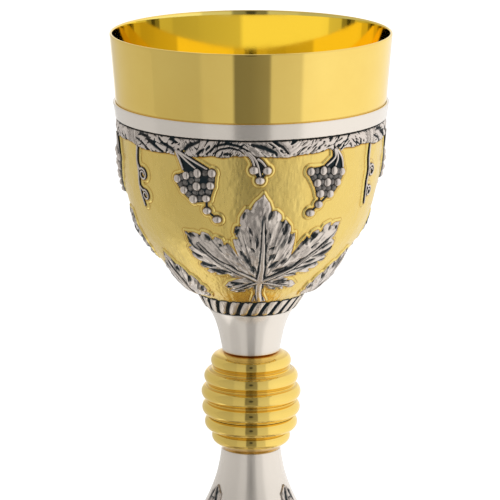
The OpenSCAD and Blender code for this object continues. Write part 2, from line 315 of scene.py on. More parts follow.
class Joined:
    """Several regions taken as one."""

    def __init__(self, regions):
        self.regions = regions
        self.low = np.min([region.low for region in regions], 0)
        self.high = np.max([region.high for region in regions], 0)

    def measure(self, points):
        found = [region.measure(points) for region in self.regions]
        d, near = np.stack([f[0] for f in found]), np.stack([f[1] for f in found])
        best, each = d.argmax(0), np.arange(len(points))
        return d[best, each], near[best, each]


def line_distance(points, line):
    """Distance to an open line of points, and how far along it from 0 to 1."""
    line = np.array(line, float)
    long = np.concatenate([[0], np.cumsum(np.hypot(*np.diff(line, axis=0).T))])
    best, along = np.full(len(points), 1e9), np.zeros(len(points))
    for k, (a, b) in enumerate(zip(line, line[1:])):
        t, _, d = nearest_on(points, a, b)
        closer = d < best
        best[closer] = d[closer]
        along[closer] = (long[k] + t[closer] * (long[k + 1] - long[k])) / long[-1]
    return best, along


SKIRT_LIFT = 0.1


def relief_mesh(wall, region, azimuth, shape, spacing):
    """A raised sheet cut to a region, with a skirt down to the wall.

    shape(points, distance to the edge) gives each point's lift, and its value for patina and painted
    light."""
    low, high = region.low - spacing, region.high + spacing
    xs = np.arange(low[0], high[0] + spacing, spacing)
    ys = np.arange(low[1], high[1] + spacing, spacing)
    grid = np.stack(np.meshgrid(xs, ys), -1).reshape(-1, 2)
    d, near = region.measure(grid)
    quads = quads_of(len(ys), len(xs), False)
    quads = quads[(d[quads] > -0.5 * spacing).all(1) & (d[quads].max(1) > 0.3 * spacing)]
    edge = d < 0.5 * spacing
    grid[edge] = near[edge]
    d = np.where(edge, 0.0, d)
    used, faces = np.unique(quads, return_inverse=True)
    faces = faces.reshape(-1, 4)
    points, d = grid[used], d[used]
    lift, patina_and_painted_light = shape(points, d)
    # the skirt hangs from every side that only one face has
    sides = np.concatenate([faces[:, [k, (k + 1) % 4]] for k in range(4)])
    key = np.sort(sides, 1)
    _, first, count = np.unique(key, axis=0, return_index=True, return_counts=True)
    rim = sides[first[count == 1]]
    rim_points, where = np.unique(rim, return_inverse=True)
    where = where.reshape(-1, 2) + len(points)
    skirt = np.stack([rim[:, 1], rim[:, 0], where[:, 0], where[:, 1]], 1)
    v = wall.place(points[:, 0], points[:, 1], lift, azimuth)
    low_v = wall.place(points[rim_points, 0], points[rim_points, 1], SKIRT_LIFT, azimuth)
    return (np.vstack([v, low_v]), np.vstack([faces, skirt]),
            np.concatenate([patina_and_painted_light, np.full(len(rim_points), 0.35)]))


def tube_mesh(points, radii, sides=10):
    """A round wire along points in metres, closed at both ends."""
    p = np.asarray(points, float)
    ahead = np.gradient(p, axis=0)
    ahead /= np.linalg.norm(ahead, axis=1)[:, None]
    outward = p * [1, 1, 0]
    outward /= np.linalg.norm(outward, axis=1)[:, None]
    aside = np.cross(ahead, outward)
    aside /= np.linalg.norm(aside, axis=1)[:, None]
    outward = np.cross(aside, ahead)
    w = np.arange(sides) * 2 * math.pi / sides
    ring = (np.cos(w)[None, :, None] * aside[:, None] + np.sin(w)[None, :, None] * outward[:, None])
    v = p[:, None] + ring * (np.asarray(radii, float) * MM)[:, None, None]
    faces = quads_of(len(p), sides, True).tolist()
    faces += [list(range(sides))[::-1], [(len(p) - 1) * sides + k for k in range(sides)]]
    height = np.broadcast_to(np.sin(w)[None, :], v.shape[:2])
    return v.reshape(-1, 3), faces, height.ravel()


# ---- materials ------------------------------------------------------------------------------

class Tree:
    """Short calls for building a tree of nodes."""

    def __init__(self, tree):
        self.tree = tree

    def put(self, socket, value):
        if isinstance(value, bpy.types.NodeSocket):
            self.tree.links.new(value, socket)
        else:
            socket.default_value = value

    def put_all(self, node, **values):
        for name, value in values.items():
            if value is not None:
                self.put(node.inputs[name], value)

    def add(self, kind, *inputs, **settings):
        node = self.tree.nodes.new(kind)
        for key, value in settings.items():
            setattr(node, key, value)
        for socket, value in zip(node.inputs, inputs):
            self.put(socket, value)
        return node

    def math(self, operation, *values):
        return self.add("ShaderNodeMath", *values, operation=operation).outputs[0]

    def ramp(self, value, low, high, to_low=0.0, to_high=1.0):
        return self.add("ShaderNodeMapRange", value, low, high, to_low, to_high).outputs[0]


class Nodes(Tree):
    """Short calls for building one material's nodes."""

    def __init__(self, name):
        self.material = bpy.data.materials.new(name)
        self.material.use_nodes = True
        super().__init__(self.material.node_tree)
        self.shader = self.tree.nodes["Principled BSDF"]
        self.shader.inputs["Metallic"].default_value = 1.0
        self.place = self.add("ShaderNodeTexCoord").outputs["Object"]

    def stretched(self, scale):
        return self.add("ShaderNodeVectorMath", self.place, scale, operation="MULTIPLY").outputs[0]

    def around(self, turns_scale, height_scale):
        """Coordinates that run round the axis, so that brushing follows the turning."""
        x, y, z = self.add("ShaderNodeSeparateXYZ", self.place).outputs
        angle = self.math("ARCTAN2", x, y)
        radius = self.math("SQRT", self.math("ADD", *(self.math("MULTIPLY", v, v) for v in (x, y))))
        scaled = [self.math("MULTIPLY", value, scale) for value, scale in
                  ((angle, turns_scale), (radius, height_scale), (z, height_scale))]
        return self.add("ShaderNodeCombineXYZ", *scaled).outputs[0]

    def noise(self, vector, scale, detail=3.0, roughness=0.55):
        node = self.add("ShaderNodeTexNoise")
        self.put_all(node, Vector=vector, Scale=scale, Detail=detail, Roughness=roughness)
        return node.outputs["Fac"]

    def mix(self, factor, a, b):
        node = self.add("ShaderNodeMix", data_type="RGBA")
        self.put(node.inputs["Factor"], factor)
        for key, value in (("A", a), ("B", b)):
            socket = [s for s in node.inputs if s.name == key and s.type == "RGBA"][0]
            self.put(socket, value if isinstance(value, bpy.types.NodeSocket) else (*value, 1.0))
        return [s for s in node.outputs if s.type == "RGBA"][0]

    def bump(self, height, distance, strength=1.0, under=None):
        node = self.add("ShaderNodeBump")
        self.put_all(node, Height=height, Distance=distance, Strength=strength, Normal=under)
        return node.outputs[0]

    def tint(self, value, low, high, a, b, most=1.0):
        """Colour a below the low value, turning to b, or to some share of b, at the high one."""
        return self.mix(self.ramp(value, low, high, 0.0, most), a, b)

    def patina_and_painted_light(self):
        return self.add("ShaderNodeAttribute", attribute_name="patina_and_painted_light").outputs["Fac"]

    def finish(self, colour, roughness, normal=None):
        self.put(self.shader.inputs["Base Color"], colour)
        self.put_all(self.shader, Roughness=roughness, Normal=normal)
        return self.material


GOLD = (1.0, 0.735, 0.20)
GOLD_DEEP = (0.90, 0.60, 0.13)
GOLD_LIT = (1.0, 0.80, 0.26)
# Colour of painted shade in the gold's crevices, grooves and steps
GOLD_CREVICE_SHADE = (0.5, 0.22, 0.02)
# The cup's inside, painted a lighter gold as painted light
GOLD_INSIDE_LIT = (1.0, 0.81, 0.22)
GROUND, GROUND_DEEP = (0.93, 0.70, 0.22), (0.87, 0.60, 0.14)
SILVER = (0.90, 0.825, 0.735)
SILVER_WARM = (0.84, 0.77, 0.69)
SILVER_LEAF = (0.87, 0.775, 0.68)
SILVER_RELIEF = (0.88, 0.785, 0.70)
# The rope's silver is tinted yellow as a painted reflection of the gold round it
SILVER_ROPE_WITH_GOLD_REFLECTION = (0.86, 0.755, 0.63)
SILVER_DULL = (0.62, 0.54, 0.49)
# Blue-black of real patina, used also for painted shade
PATINA_AND_SHADE = (0.012, 0.022, 0.027)
SILVER_SPECK = (0.36, 0.36, 0.38)
PATINA_AND_SHADE_BROWN = (0.045, 0.038, 0.034)
STEEL, STEEL_DARK = (0.56, 0.57, 0.60), (0.42, 0.43, 0.46)
PAPER, PAPER_DARK = (0.93, 0.93, 0.93), (0.91, 0.91, 0.91)
FLOOR_GLOW = 0.55


def gold_polished(name, roughness, line_depth):
    """Mirror gold with turning lines too fine to see singly, and faint handling haze.

    Its painted light value is 1 where shade is painted into a crevice, and -1 on the inside of the cup,
    which is painted a lighter gold."""
    n = Nodes(name)
    lines = n.noise(n.around(1.0, 9000.0), 1.0, 2.0)
    haze = n.noise(n.place, 60.0, 4.0)
    smears = n.noise(n.around(6.0, 260.0), 1.0, 3.0)
    rough = n.math("ADD", n.ramp(haze, 0.35, 0.7, roughness * 0.8, roughness * 1.25),
                   n.ramp(smears, 0.55, 0.8, 0.0, 0.03))
    colour = n.tint(haze, 0.3, 0.75, GOLD, GOLD_DEEP, 0.35)
    painted_light = n.patina_and_painted_light()
    colour = n.mix(n.ramp(painted_light, -1.0, 0.0, 1.0, 0.0), colour, GOLD_INSIDE_LIT)
    colour = n.tint(painted_light, 0.0, 1.0, colour, GOLD_CREVICE_SHADE)
    return n.finish(colour, rough, n.bump(lines, 0.000002, line_depth))


def gold_ground():
    """Gilt ground, worked over by hand: soft dimples, short scraper marks, a satin surface.

    Its painted light value is 1 where shade is painted along crevices and at the feet of steps, and -1
    where a highlight is painted along a raised edge."""
    n = Nodes("gold_ground")
    dimples = n.noise(n.place, 420.0, 3.0)
    marks = n.noise(n.stretched((1.6, 1.6, 0.45)), 900.0, 3.0, 0.6)
    patches = n.noise(n.place, 70.0, 3.0)
    painted_shade_and_highlight = n.patina_and_painted_light()
    colour = n.tint(patches, 0.35, 0.7, GROUND, GROUND_DEEP, 0.35)
    colour = n.mix(n.ramp(painted_shade_and_highlight, -1.0, 0.0, 1.0, 0.0), colour, GOLD_LIT)
    colour = n.tint(painted_shade_and_highlight, 0.0, 1.0, colour, GOLD_CREVICE_SHADE)
    rough = n.ramp(marks, 0.3, 0.7, 0.24, 0.36)
    normal = n.bump(marks, 0.00006, 0.55, n.bump(dimples, 0.0002, 0.5))
    return n.finish(colour, rough, normal)


def silver_satin(name, roughness, grain, scatter):
    """Satin silver plate, brushed round the axis, which scatters a share of the light."""
    n = Nodes(name)
    brush = n.noise(n.around(1.5, 5200.0), 1.0, 3.0, 0.7)
    scratches = n.noise(n.around(5.0, 1500.0), 1.0, 4.0, 0.75)
    cloud = n.noise(n.place, 45.0, 3.0)
    colour = n.tint(cloud, 0.3, 0.75, SILVER, SILVER_WARM, 0.4)
    rough = n.math("ADD", n.ramp(scratches, 0.4, 0.75, roughness * 0.94, roughness * 1.08),
                   n.ramp(brush, 0.3, 0.7, -0.01, 0.01))
    n.shader.inputs["Anisotropic"].default_value = 0.3
    n.shader.inputs["Metallic"].default_value = 1 - scatter
    return n.finish(colour, rough, n.bump(brush, 0.000006, grain))


def silver_antique(name, silver, dark_from, dark_to):
    """Cast silver, blackened and then rubbed back, so that the recesses stay blue-black; the same
    blue-black also stands for painted shade wherever a piece's values paint it.
    """
    n = Nodes(name)
    patina_and_painted_light = n.patina_and_painted_light()
    break_up = n.noise(n.place, 900.0, 4.0, 0.65)
    speckle = n.noise(n.place, 2600.0, 2.0)
    cloud = n.noise(n.place, 160.0, 3.0)
    depth = n.math("ADD", patina_and_painted_light, n.ramp(break_up, 0.25, 0.75, -0.09, 0.09))
    dark = n.ramp(depth, dark_from, dark_to)
    bright = n.tint(cloud, 0.3, 0.7, silver, SILVER_DULL, 0.6)
    bright = n.tint(speckle, 0.62, 0.78, bright, SILVER_SPECK, 0.3)
    oxide_and_shade = n.tint(cloud, 0.45, 0.7, PATINA_AND_SHADE, PATINA_AND_SHADE_BROWN, 0.6)
    n.put(n.shader.inputs["Metallic"], n.ramp(dark, 0.0, 1.0, 1.0, 0.8))
    rough = n.ramp(dark, 0.0, 1.0, 0.25, 0.46)
    normal = n.bump(speckle, 0.00003, 0.3, n.bump(break_up, 0.0001, 0.4))
    return n.finish(n.mix(dark, bright, oxide_and_shade), rough, normal)


def steel_zinc():
    n = Nodes("steel_zinc")
    grain = n.noise(n.place, 700.0, 4.0)
    colour = n.tint(grain, 0.3, 0.7, STEEL, STEEL_DARK)
    return n.finish(colour, n.ramp(grain, 0.3, 0.7, 0.28, 0.45), n.bump(grain, 0.00004, 0.4))


def floor_paper():
    n = Nodes("floor_paper")
    for name, value in (("Metallic", 0.0), ("Specular IOR Level", 0.1),
                        ("Emission Color", (1.0, 1.0, 1.0, 1.0)), ("Emission Strength", FLOOR_GLOW)):
        n.shader.inputs[name].default_value = value
    fibre = n.noise(n.place, 35.0, 4.0)
    colour = n.tint(fibre, 0.3, 0.7, PAPER, PAPER_DARK)
    return n.finish(colour, 0.9)


m_lip = gold_polished("gold_lip", 0.045, 0.2)
m_knop = gold_polished("gold_knop", 0.08, 0.3)
m_ground = gold_ground()
m_band = silver_satin("silver_band", 0.15, 0.1, 0.15)
m_satin = silver_satin("silver_satin", 0.19, 0.12, 0.18)
m_foot = silver_satin("silver_foot", 0.18, 0.12, 0.3)
m_leaf = silver_antique("silver_leaf", SILVER_LEAF, 0.2, 1.0)
m_relief = silver_antique("silver_relief", SILVER_RELIEF, 0.3, 0.8)
m_rope = silver_antique("silver_rope", SILVER_ROPE_WITH_GOLD_REFLECTION, 0.35, 0.8)
m_steel = steel_zinc()


# ---- plain turned pieces ----------------------------------------------------------------------

def inset(path, distance):
    """A path moved towards the axis side, square to itself."""
    ahead = np.gradient(path, axis=0)
    ahead /= np.hypot(*ahead.T)[:, None]
    return path + distance * np.stack([-ahead[:, 1], ahead[:, 0]], 1)


CUP_WALL = 1.0
LIP_R, LIP_Z = 52.36, 235.0


def make_cup():
    floor_and_side = smooth_path([
        (0.0, 139), (8, 139.3), (15, 140.7), (21.5, 143.8), (27.4, 148.4), (32.8, 154), (38.4, 162),
        (42, 170), (44.3, 178), (45.8, 186), (46.7, 194), (47.4, 202),
    ], 5)
    # above the shoulder the wall is a straight cone
    lip = smooth_path([(48.1, 204.6), (49.5, 207.4), (50.4, 210.2), (50.78, 215), (51.57, 225),
                       (LIP_R, LIP_Z - 0.6)], 6)
    outer = np.vstack([floor_and_side, lip])
    inner = inset(outer, CUP_WALL)[::-1]
    inner[-1, 0] = 0.0
    turn = np.linspace(0, math.pi, 9)[1:-1]
    middle = (outer[-1] + inner[0]) / 2
    half = CUP_WALL / 2
    edge = np.stack([middle[0] + half * np.cos(turn), middle[1] + 1.2 * half * np.sin(turn)], 1)
    profile = np.vstack([outer, edge, inner])
    profile[:, 0] = np.maximum(profile[:, 0], 0.02)
    # Painted light: the inside of the cup is marked -1 and painted a lighter gold
    inside = np.repeat([0.0, -1.0], [len(outer) + len(edge), len(inner)])
    turned_piece("Cup", profile, m_lip, ["cup"], 320, patina_and_painted_light=inside)


def make_rim_band():
    profile = rounded([
        (48.0, 203.6), (50.15, 203.6), (50.5, 203.9), (50.75, 205.6), (51.0, 207.4), (51.35, 209.2),
        (51.1, 209.5), (50.35, 209.45), (49.6, 207.4), (48.3, 204.8),
    ], 0.25, 3)
    turned_piece("Rim_band", profile, m_band, ["rim_band"], 320, closed=True)


def make_neck():
    outer = smooth_path([(10.8, 113.55), (11.55, 117.5), (12.45, 121.6), (13.6, 125.3), (14.8, 128),
                         (16.0, 130.1)], 8)
    inner = inset(outer, 1.3)[::-1]
    foot_edge = rounded([(9.5, 113.55), (10.55, 113.5), (10.85, 113.8), outer[1]], 0.12, 3)
    profile = np.vstack([foot_edge[:-1], outer[1:], inner])
    turned_piece("Neck", profile, m_satin, ["neck"], 224, closed=True)


KNOP_RINGS = [(15.2, 109.5), (17.8, 103.5), (18.85, 97.5), (18.6, 91.4), (17.6, 85.6), (14.9, 80.2)]
BEAD_R = 2.85
# A bead ends this far either side of its crest, in degrees
BEAD_END = 62
# Under the crest: a groove's floor, and the fine ridge that stands on it
FLOOR_DEPTH, RIDGE_DEPTH = 2.0, 1.5
RIDGE_HALF, FLOOR_HALF = 0.22, 0.42
# Painted shade in the grooves between the beads
GROOVE_SHADE = 0.35


def make_knop():
    """Six turned beads; a fine ridge runs in each groove between them."""
    # each point is (radius, height, painted shade): shade is painted into the gap under the neck, into
    # the grooves and onto the collar at the bottom
    profile = [(3.2, 113.5, 1), (10.2, 113.5, 1), (10.4, 113.1, 1), (11.0, 113.0, 0.6),
               (12.2, 112.6, 0.1)]

    def arc(cx, cz, radius, end, steps, painted_light):
        for k in range(steps + 1):
            share = 1 - 2 * k / steps
            w = math.radians(end * share)
            profile.append((cx + radius * math.cos(w), cz + radius * math.sin(w),
                            painted_light * float(smoothstep(0.8, 1.0, abs(share)))))

    for k, (r, z) in enumerate(KNOP_RINGS):
        arc(r - BEAD_R, z, BEAD_R, BEAD_END, 22, GROOVE_SHADE)
        if k + 1 < len(KNOP_RINGS):
            r1, z1 = KNOP_RINGS[k + 1]
            crest, mz = (r + r1) / 2, (z + z1) / 2
            profile.append((crest - FLOOR_DEPTH, mz + FLOOR_HALF, GROOVE_SHADE))
            arc(crest - RIDGE_DEPTH - RIDGE_HALF, mz, RIDGE_HALF, 85, 6, 0.0)
            profile.append((crest - FLOOR_DEPTH, mz - FLOOR_HALF, GROOVE_SHADE))
    profile += [(12.5, 77.0, 0.5), (11.7, 76.4, 0.75), (11.35, 75.9, 0.7), (11.25, 75.45, 0.6),
                (3.2, 75.4, 1)]
    profile = np.array(profile)
    turned_piece("Knop", profile[:, :2], m_knop, ["knop"], 288, True, profile[:, 2])


FOOT_WALL = 1.5


def make_foot_shell():
    outer = np.stack([foot.r, foot.z], 1)[::3]
    inner = inset(outer, FOOT_WALL)[::-1]
    inner = inner[inner[:, 1] < 73.5]
    top = rounded([outer[-1], (10.6, 75.42), (3.2, 75.42), (3.2, 73.8), (9.4, 73.8), inner[0]], 0.3, 3)
    profile = np.vstack([outer[:-1], top[:-1], inner])
    turned_piece("Foot_shell", profile, m_foot, ["foot_shell"], 320, closed=True)


def make_foot_rim():
    profile = rounded([
        (65.1, 0.0), (69.5, 0.0), (69.5, 2.3), (68.5, 3.1), (68.5, 5.5), (67.9, 6.6), (66.9, 8.1),
        (66.0, 9.3), (64.4, 8.2), (64.4, 5.0),
    ], 0.5, 4)
    turned_piece("Foot_rim", profile, m_foot, ["foot_rim"], 384, closed=True)


# ---- vine leaves ------------------------------------------------------------------------------

SHORTEST_TOOTH = 2.6


def serrated(points, hand, bite=1.2):
    """Teeth from a valley to a lobe's tip: long round backs and short hooked fronts.

    hand is 1 where the leaf lies left of the way the run goes, and -1 where it lies right.
    The notches between the teeth are returned too."""
    out, notches = [points[0]], []
    for k, (a, b) in enumerate(zip(points, points[1:])):
        ahead = b - a
        inward = hand * np.array([-ahead[1], ahead[0]])
        long = np.hypot(*ahead)
        if k and long > SHORTEST_TOOTH:
            notches.append(a + 0.12 * ahead + inward * min(bite, 0.32 * long) / long)
            out.append(notches[-1])
        tip = k + 2 == len(points)
        bulge = -0.03 if tip else 0.03
        out += [a + 0.5 * ahead - bulge * inward, a + 0.8 * ahead - bulge * inward, b]
    return np.array(out), notches


def outline_of(wall, first, runs, last):
    """The whole outline: a stem's side, lobes as runs of teeth there and back, the other side."""
    parts, notches = [wall.flat(first)], []
    for hand, points in runs:
        run, found = serrated(wall.flat(points), hand)
        parts.append(run if hand > 0 else run[::-1])
        notches += found
    outline = Outline(np.vstack(parts + [wall.flat(last)]))
    outline.notches = notches
    return outline


SINUS_RIGHT, SINUS_LEFT = (11.1, 159.4), (-8.3, 159.4)
VALLEY_RIGHT, VALLEY_LEFT = (8.7, 149.6), (-6, 149.7)
TIP, TIP_RIGHT, TIP_LEFT = (0.3, 184), (31.8, 170.5), (-29.5, 168.1)
LOW_TIP_RIGHT, LOW_TIP_LEFT = (14.3, 145.8), (-12.4, 145.7)
JUNCTION = (0, 148.5)
LEAF_RUNS = [
    (1, [(2, 146), (3.1, 144.8), (4.6, 144.1), (6.5, 143.8), (9.2, 144), (13.1, 144.6), LOW_TIP_RIGHT]),
    (-1, [VALLEY_RIGHT, (10.9, 148.6), (13.1, 147.3), LOW_TIP_RIGHT]),
    (1, [VALLEY_RIGHT, (14, 150), (19.5, 150.9), (23.5, 153.4), (27, 156.2), (29.8, 162.8), TIP_RIGHT]),
    (-1, [SINUS_RIGHT, (16.8, 166.6), (21.4, 168.7), (27, 170.9), TIP_RIGHT]),
    (1, [SINUS_RIGHT, (12.2, 168.3), (8.4, 173.8), (5, 177.4), TIP]),
    (-1, [SINUS_LEFT, (-10.5, 166.2), (-9.8, 171.5), (-6.1, 178.3), TIP]),
    (1, [SINUS_LEFT, (-12.4, 164.9), (-17, 167), (-22.2, 168.6), TIP_LEFT]),
    (-1, [VALLEY_LEFT, (-11, 149.9), (-16.5, 150.3), (-19.8, 152.1), (-22.7, 154.4), (-27.7, 161.5),
          TIP_LEFT]),
    (1, [VALLEY_LEFT, (-9.4, 148.4), (-11.3, 147.5), LOW_TIP_LEFT]),
    (-1, [(-2.2, 145.3), (-3.5, 143.7), (-6, 143), (-8.5, 142.9), (-10.4, 143.7), LOW_TIP_LEFT]),
]
# Raised veins: half width at the foot and at the tip, and the line
LEAF_VEINS = [
    (1.05, 0.12, [JUNCTION, (0.5, 154), (0.5, 162), (0.3, 174)]),
    (0.55, 0.1, [JUNCTION, (5.5, 151), (11.5, 154), (17.5, 158.5), (25.5, 164)]),
    (0.55, 0.1, [JUNCTION, (-4.5, 151), (-9, 153.5), (-15.5, 157.5), (-23.5, 164)]),
    (0.4, 0.12, [JUNCTION, (4, 147.5), (7.5, 146.5), (10.5, 146)]),
    (0.4, 0.12, [JUNCTION, (-3.5, 147), (-6.5, 145.5), (-8.5, 144.5)]),
    (1.0, 0.85, [JUNCTION, (0, 143), (1, 138.5)]),
]
# Dark chased strokes: half width and the line
LEAF_STROKES = [
    (0.4, [(0.4, 171), (0.4, 174), (0.7, 177)]), (0.75, [(9.5, 151), (13.5, 151), (17.5, 150.5)]),
    (0.6, [(11.5, 153), (17.5, 154), (24.5, 155.5)]),
    (0.6, [(16, 155.5), (20.5, 157)]), (0.6, [(22.5, 155.5), (26.5, 156)]),
    (0.6, [(19.5, 158), (25.5, 159.5), (29, 161)]), (0.5, [(21.5, 160.5), (28, 162.5)]),
    (0.4, [(18.5, 162), (21.5, 163.5)]), (0.85, [(16.5, 163.5), (15.5, 166.5)]),
    (0.5, [(19, 166), (20, 167.5)]), (0.5, [(22.5, 168), (23.5, 168.5)]),
    (0.55, [(26, 168), (27, 169.5)]), (0.45, [(29, 168), (30, 169)]),
    (0.9, [(3, 155), (6, 157.5)]), (0.8, [(3, 158.5), (4.5, 160.5)]), (0.55, [(7, 156.5), (9, 158.5)]),
    (0.45, [(2.5, 162.5), (4.5, 163.5)]), (0.55, [(9.5, 164.5), (10.5, 167.5)]),
    (0.7, [(7.5, 168.5), (8.5, 172)]), (0.8, [(2, 174.5), (3.5, 177.5)]),
    (0.4, [(1, 168.5), (1.5, 170.5)]),
    (0.9, [(4.5, 153), (9.5, 154.5)]), (0.75, [(-7.5, 161.5), (-5, 158), (-3.5, 155)]),
    (0.8, [(-3, 155.5), (-2.5, 153)]), (0.5, [(-4, 163), (-2.5, 162)]),
    (0.55, [(-7, 174.5), (-6.5, 177)]),
    (0.6, [(-9.5, 168.5), (-8.5, 170.5)]), (0.4, [(-2, 163), (-1.5, 167)]),
    (0.5, [(-4, 178.5), (-4.5, 180)]), (0.4, [(-3.5, 168), (-5, 171.5)]),
    (0.85, [(-12.5, 156), (-8.5, 153.5)]), (0.6, [(-15.5, 164), (-14.5, 163.5)]),
    (0.7, [(-21, 167.5), (-19, 165.5)]), (0.65, [(-28, 168), (-25, 166.5)]),
    (0.7, [(-28.5, 166.5), (-25.5, 163)]), (0.65, [(-28.5, 161.5), (-26, 160), (-21.5, 158.5)]),
    (0.85, [(-23.5, 156.5), (-16.5, 155)]), (0.85, [(-18.5, 153.5), (-10.5, 152.5)]),
    (0.75, [(-16.5, 150.5), (-9, 150.5)]), (0.75, [(5, 148.5), (10.5, 148)]),
    (0.5, [(4.5, 145), (6.5, 144.5)]),
    (0.75, [(-10, 147.5), (-5.5, 147.5)]), (0.7, [(-11.5, 145.5), (-10, 146)]),
    (0.5, [(-4, 145), (-2, 144.5)]), (0.5, [(-7, 144), (-5, 144)]),
]
LOW_LEAF_TEETH = [(6.8, 139.2), (9.0, 141), (9.8, 144.6), (7.8, 148.6), (4.6, 152.6), (0, 157.4)]
LOW_LEAF_VEINS = [(0.9, 0.3, [(0, 139.4), (0.3, 146), (0, 154.5)])]
LOW_LEAF_STROKES = [
    (0.55, [(7.9, 138.5), (9.1, 140)]), (0.6, [(7.4, 142.4), (8.7, 144.2)]),
    (0.6, [(5.4, 146.4), (6.4, 148.2)]), (0.6, [(2.8, 150), (3.3, 151.8)]),
]
FOOT_LEAF_EDGE = [
    (3.4, 22), (2, 25), (6, 25.2), (12, 26.6), (16.6, 29.4), (12.5, 31.4), (17.4, 34.6), (21.4, 38),
    (18, 39), (15.6, 41), (10.8, 39.4), (10.2, 43.4), (8.6, 44.4), (7.4, 48.2), (5.4, 49.2),
    (5.4, 54.4), (3.8, 55.6), (3.2, 59.6), (0, 62.4),
]
FOOT_LEAF_VEINS = [
    (1.0, 0.3, [(0, 22.5), (0.3, 35), (0, 57)]), (0.7, 0.25, [(0, 31), (8, 34.5), (17, 37.5)]),
    (0.7, 0.25, [(0, 31), (-8, 34.5), (-17, 37.5)]), (0.6, 0.25, [(0, 27), (12, 28.5)]),
    (0.6, 0.25, [(0, 27), (-12, 28.5)]),
]
FOOT_LEAF_STROKES = [
    (0.8, [(2.5, 36.5), (6, 39.5)]), (0.75, [(2.4, 41), (5, 44.5)]), (0.7, [(2, 46.5), (3.6, 49.5)]),
    (0.8, [(8, 37.5), (13.5, 39.5)]), (0.7, [(5, 30.5), (11, 33)]), (0.6, [(5, 26.2), (10, 27)]),
    (0.7, [(7, 41), (7.6, 43)]), (0.6, [(1.8, 51.5), (3.2, 54)]),
    (0.7, [(0.5, 61), (1.6, 58), (2.4, 55.5)]),
]


def both_sides(strokes):
    return strokes + [(w, [(-x, z) for x, z in line]) for w, line in strokes]


def mirrored(points):
    return [(-x, z) for x, z in points]


VEIN_RISE = 0.28
STROKE_DEPTH = 0.45
GROOVE_DEPTH = 0.3
PUCKER = 0.6
STREAK_DEPTH, FINE_DEPTH = 0.16, 0.06
# A leaf's edge stands this high; its middle is higher by the dome, reached over some width
LEAF_EDGE, LEAF_DOME, DOME_WIDTH = 0.45, 0.95, 1.3
# Radius of the painted shadow, and of the small dent, in each notch
NOTCH_SHADOW_R = 0.6
# Noise over a leaf: cells to a radian about the root, cells to a mm out from it, and a start
STREAKS, FINE = (30, 0.14, 90, 20), (70, 0.8, 190, 70)
PUCKER_LARGE, PUCKER_SMALL = (9, 0.28, 40, 120), (20, 0.5, 300, 30)


def leaf_surface(wall, veins, strokes, junction, notches=()):
    """Lift and patina over a leaf: domed edge, raised veins in dark grooves, chased strokes, and a
    painted shadow in each notch between the teeth.
    """
    root = wall.flat([junction])[0]

    def shape(points, d):
        vein, groove, stroke = np.zeros((3, len(points)))
        for foot_w, tip_w, line in veins:
            away, along = line_distance(points, wall.flat(line))
            half = foot_w + (tip_w - foot_w) * along
            fade = smoothstep(1.0, 0.9, along)
            vein = np.maximum(vein, (1 - smoothstep(0.7, 1.15, away / half)) * (0.3 + 0.7 * fade))
            beside = bell(away - half - 0.35, 0.46 - 0.2 * along)
            groove = np.maximum(groove, beside * (0.4 + 0.6 * fade))
        groove *= 1 - vein
        for half, line in strokes:
            away, along = line_distance(points, wall.flat(line))
            width = 1.2 * half * (0.4 + 0.6 * np.sin(math.pi * along))
            stroke = np.maximum(stroke, bell(away, width))
        # Painted shadow: a dark spot in each notch between the teeth
        for notch in notches:
            stroke = np.maximum(stroke, bell(np.hypot(*(points - notch).T), NOTCH_SHADOW_R))
        stroke *= 1 - vein
        from_root = points - root
        bearing = np.arctan2(from_root[:, 0], from_root[:, 1])
        reach = np.hypot(*from_root.T)

        def radial(across, out, start_across, start_out):
            return noise(bearing * across + start_across, reach * out + start_out)

        streaks, fine = radial(*STREAKS), radial(*FINE)
        pucker = radial(*PUCKER_LARGE) + 0.4 * radial(*PUCKER_SMALL)
        lift = LEAF_EDGE + LEAF_DOME * (1 - np.exp(-d / DOME_WIDTH)) + VEIN_RISE * vein
        lift -= (STROKE_DEPTH * stroke + GROOVE_DEPTH * groove) * smoothstep(0.0, 0.5, d)
        worked = smoothstep(0.0, 1.2, d) * (1 - vein)
        lift += (PUCKER * (pucker - 0.7) + STREAK_DEPTH * (streaks - 0.5)
                 + FINE_DEPTH * (fine - 0.5)) * worked
        dark = np.maximum(1.3 * groove, stroke * (0.65 + 0.75 * fine))
        dark += 0.6 * smoothstep(0.62, 0.82, streaks) + 0.35 * smoothstep(0.6, 0.85, fine)
        dark += 0.12 * smoothstep(0.62, 0.3, pucker) + 0.2 * bell(d, 0.4)
        return lift, np.clip(0.1 + dark * (1 - 0.85 * vein), 0, 1)

    return shape


LEAF_SPACING = 0.23


def leaf_regions():
    """Outlines of the three kinds of leaf."""
    big = outline_of(bowl, [(3.4, 138.1), (1.6, 142.4)], LEAF_RUNS, [(-1.4, 142.4), (-2, 138.1)])
    low = outline_of(bowl, [], [(1, LOW_LEAF_TEETH), (-1, mirrored(LOW_LEAF_TEETH))], [])
    at_foot = Outline(foot.flat(FOOT_LEAF_EDGE + mirrored(FOOT_LEAF_EDGE[:-1])[::-1]))
    return big, low, at_foot


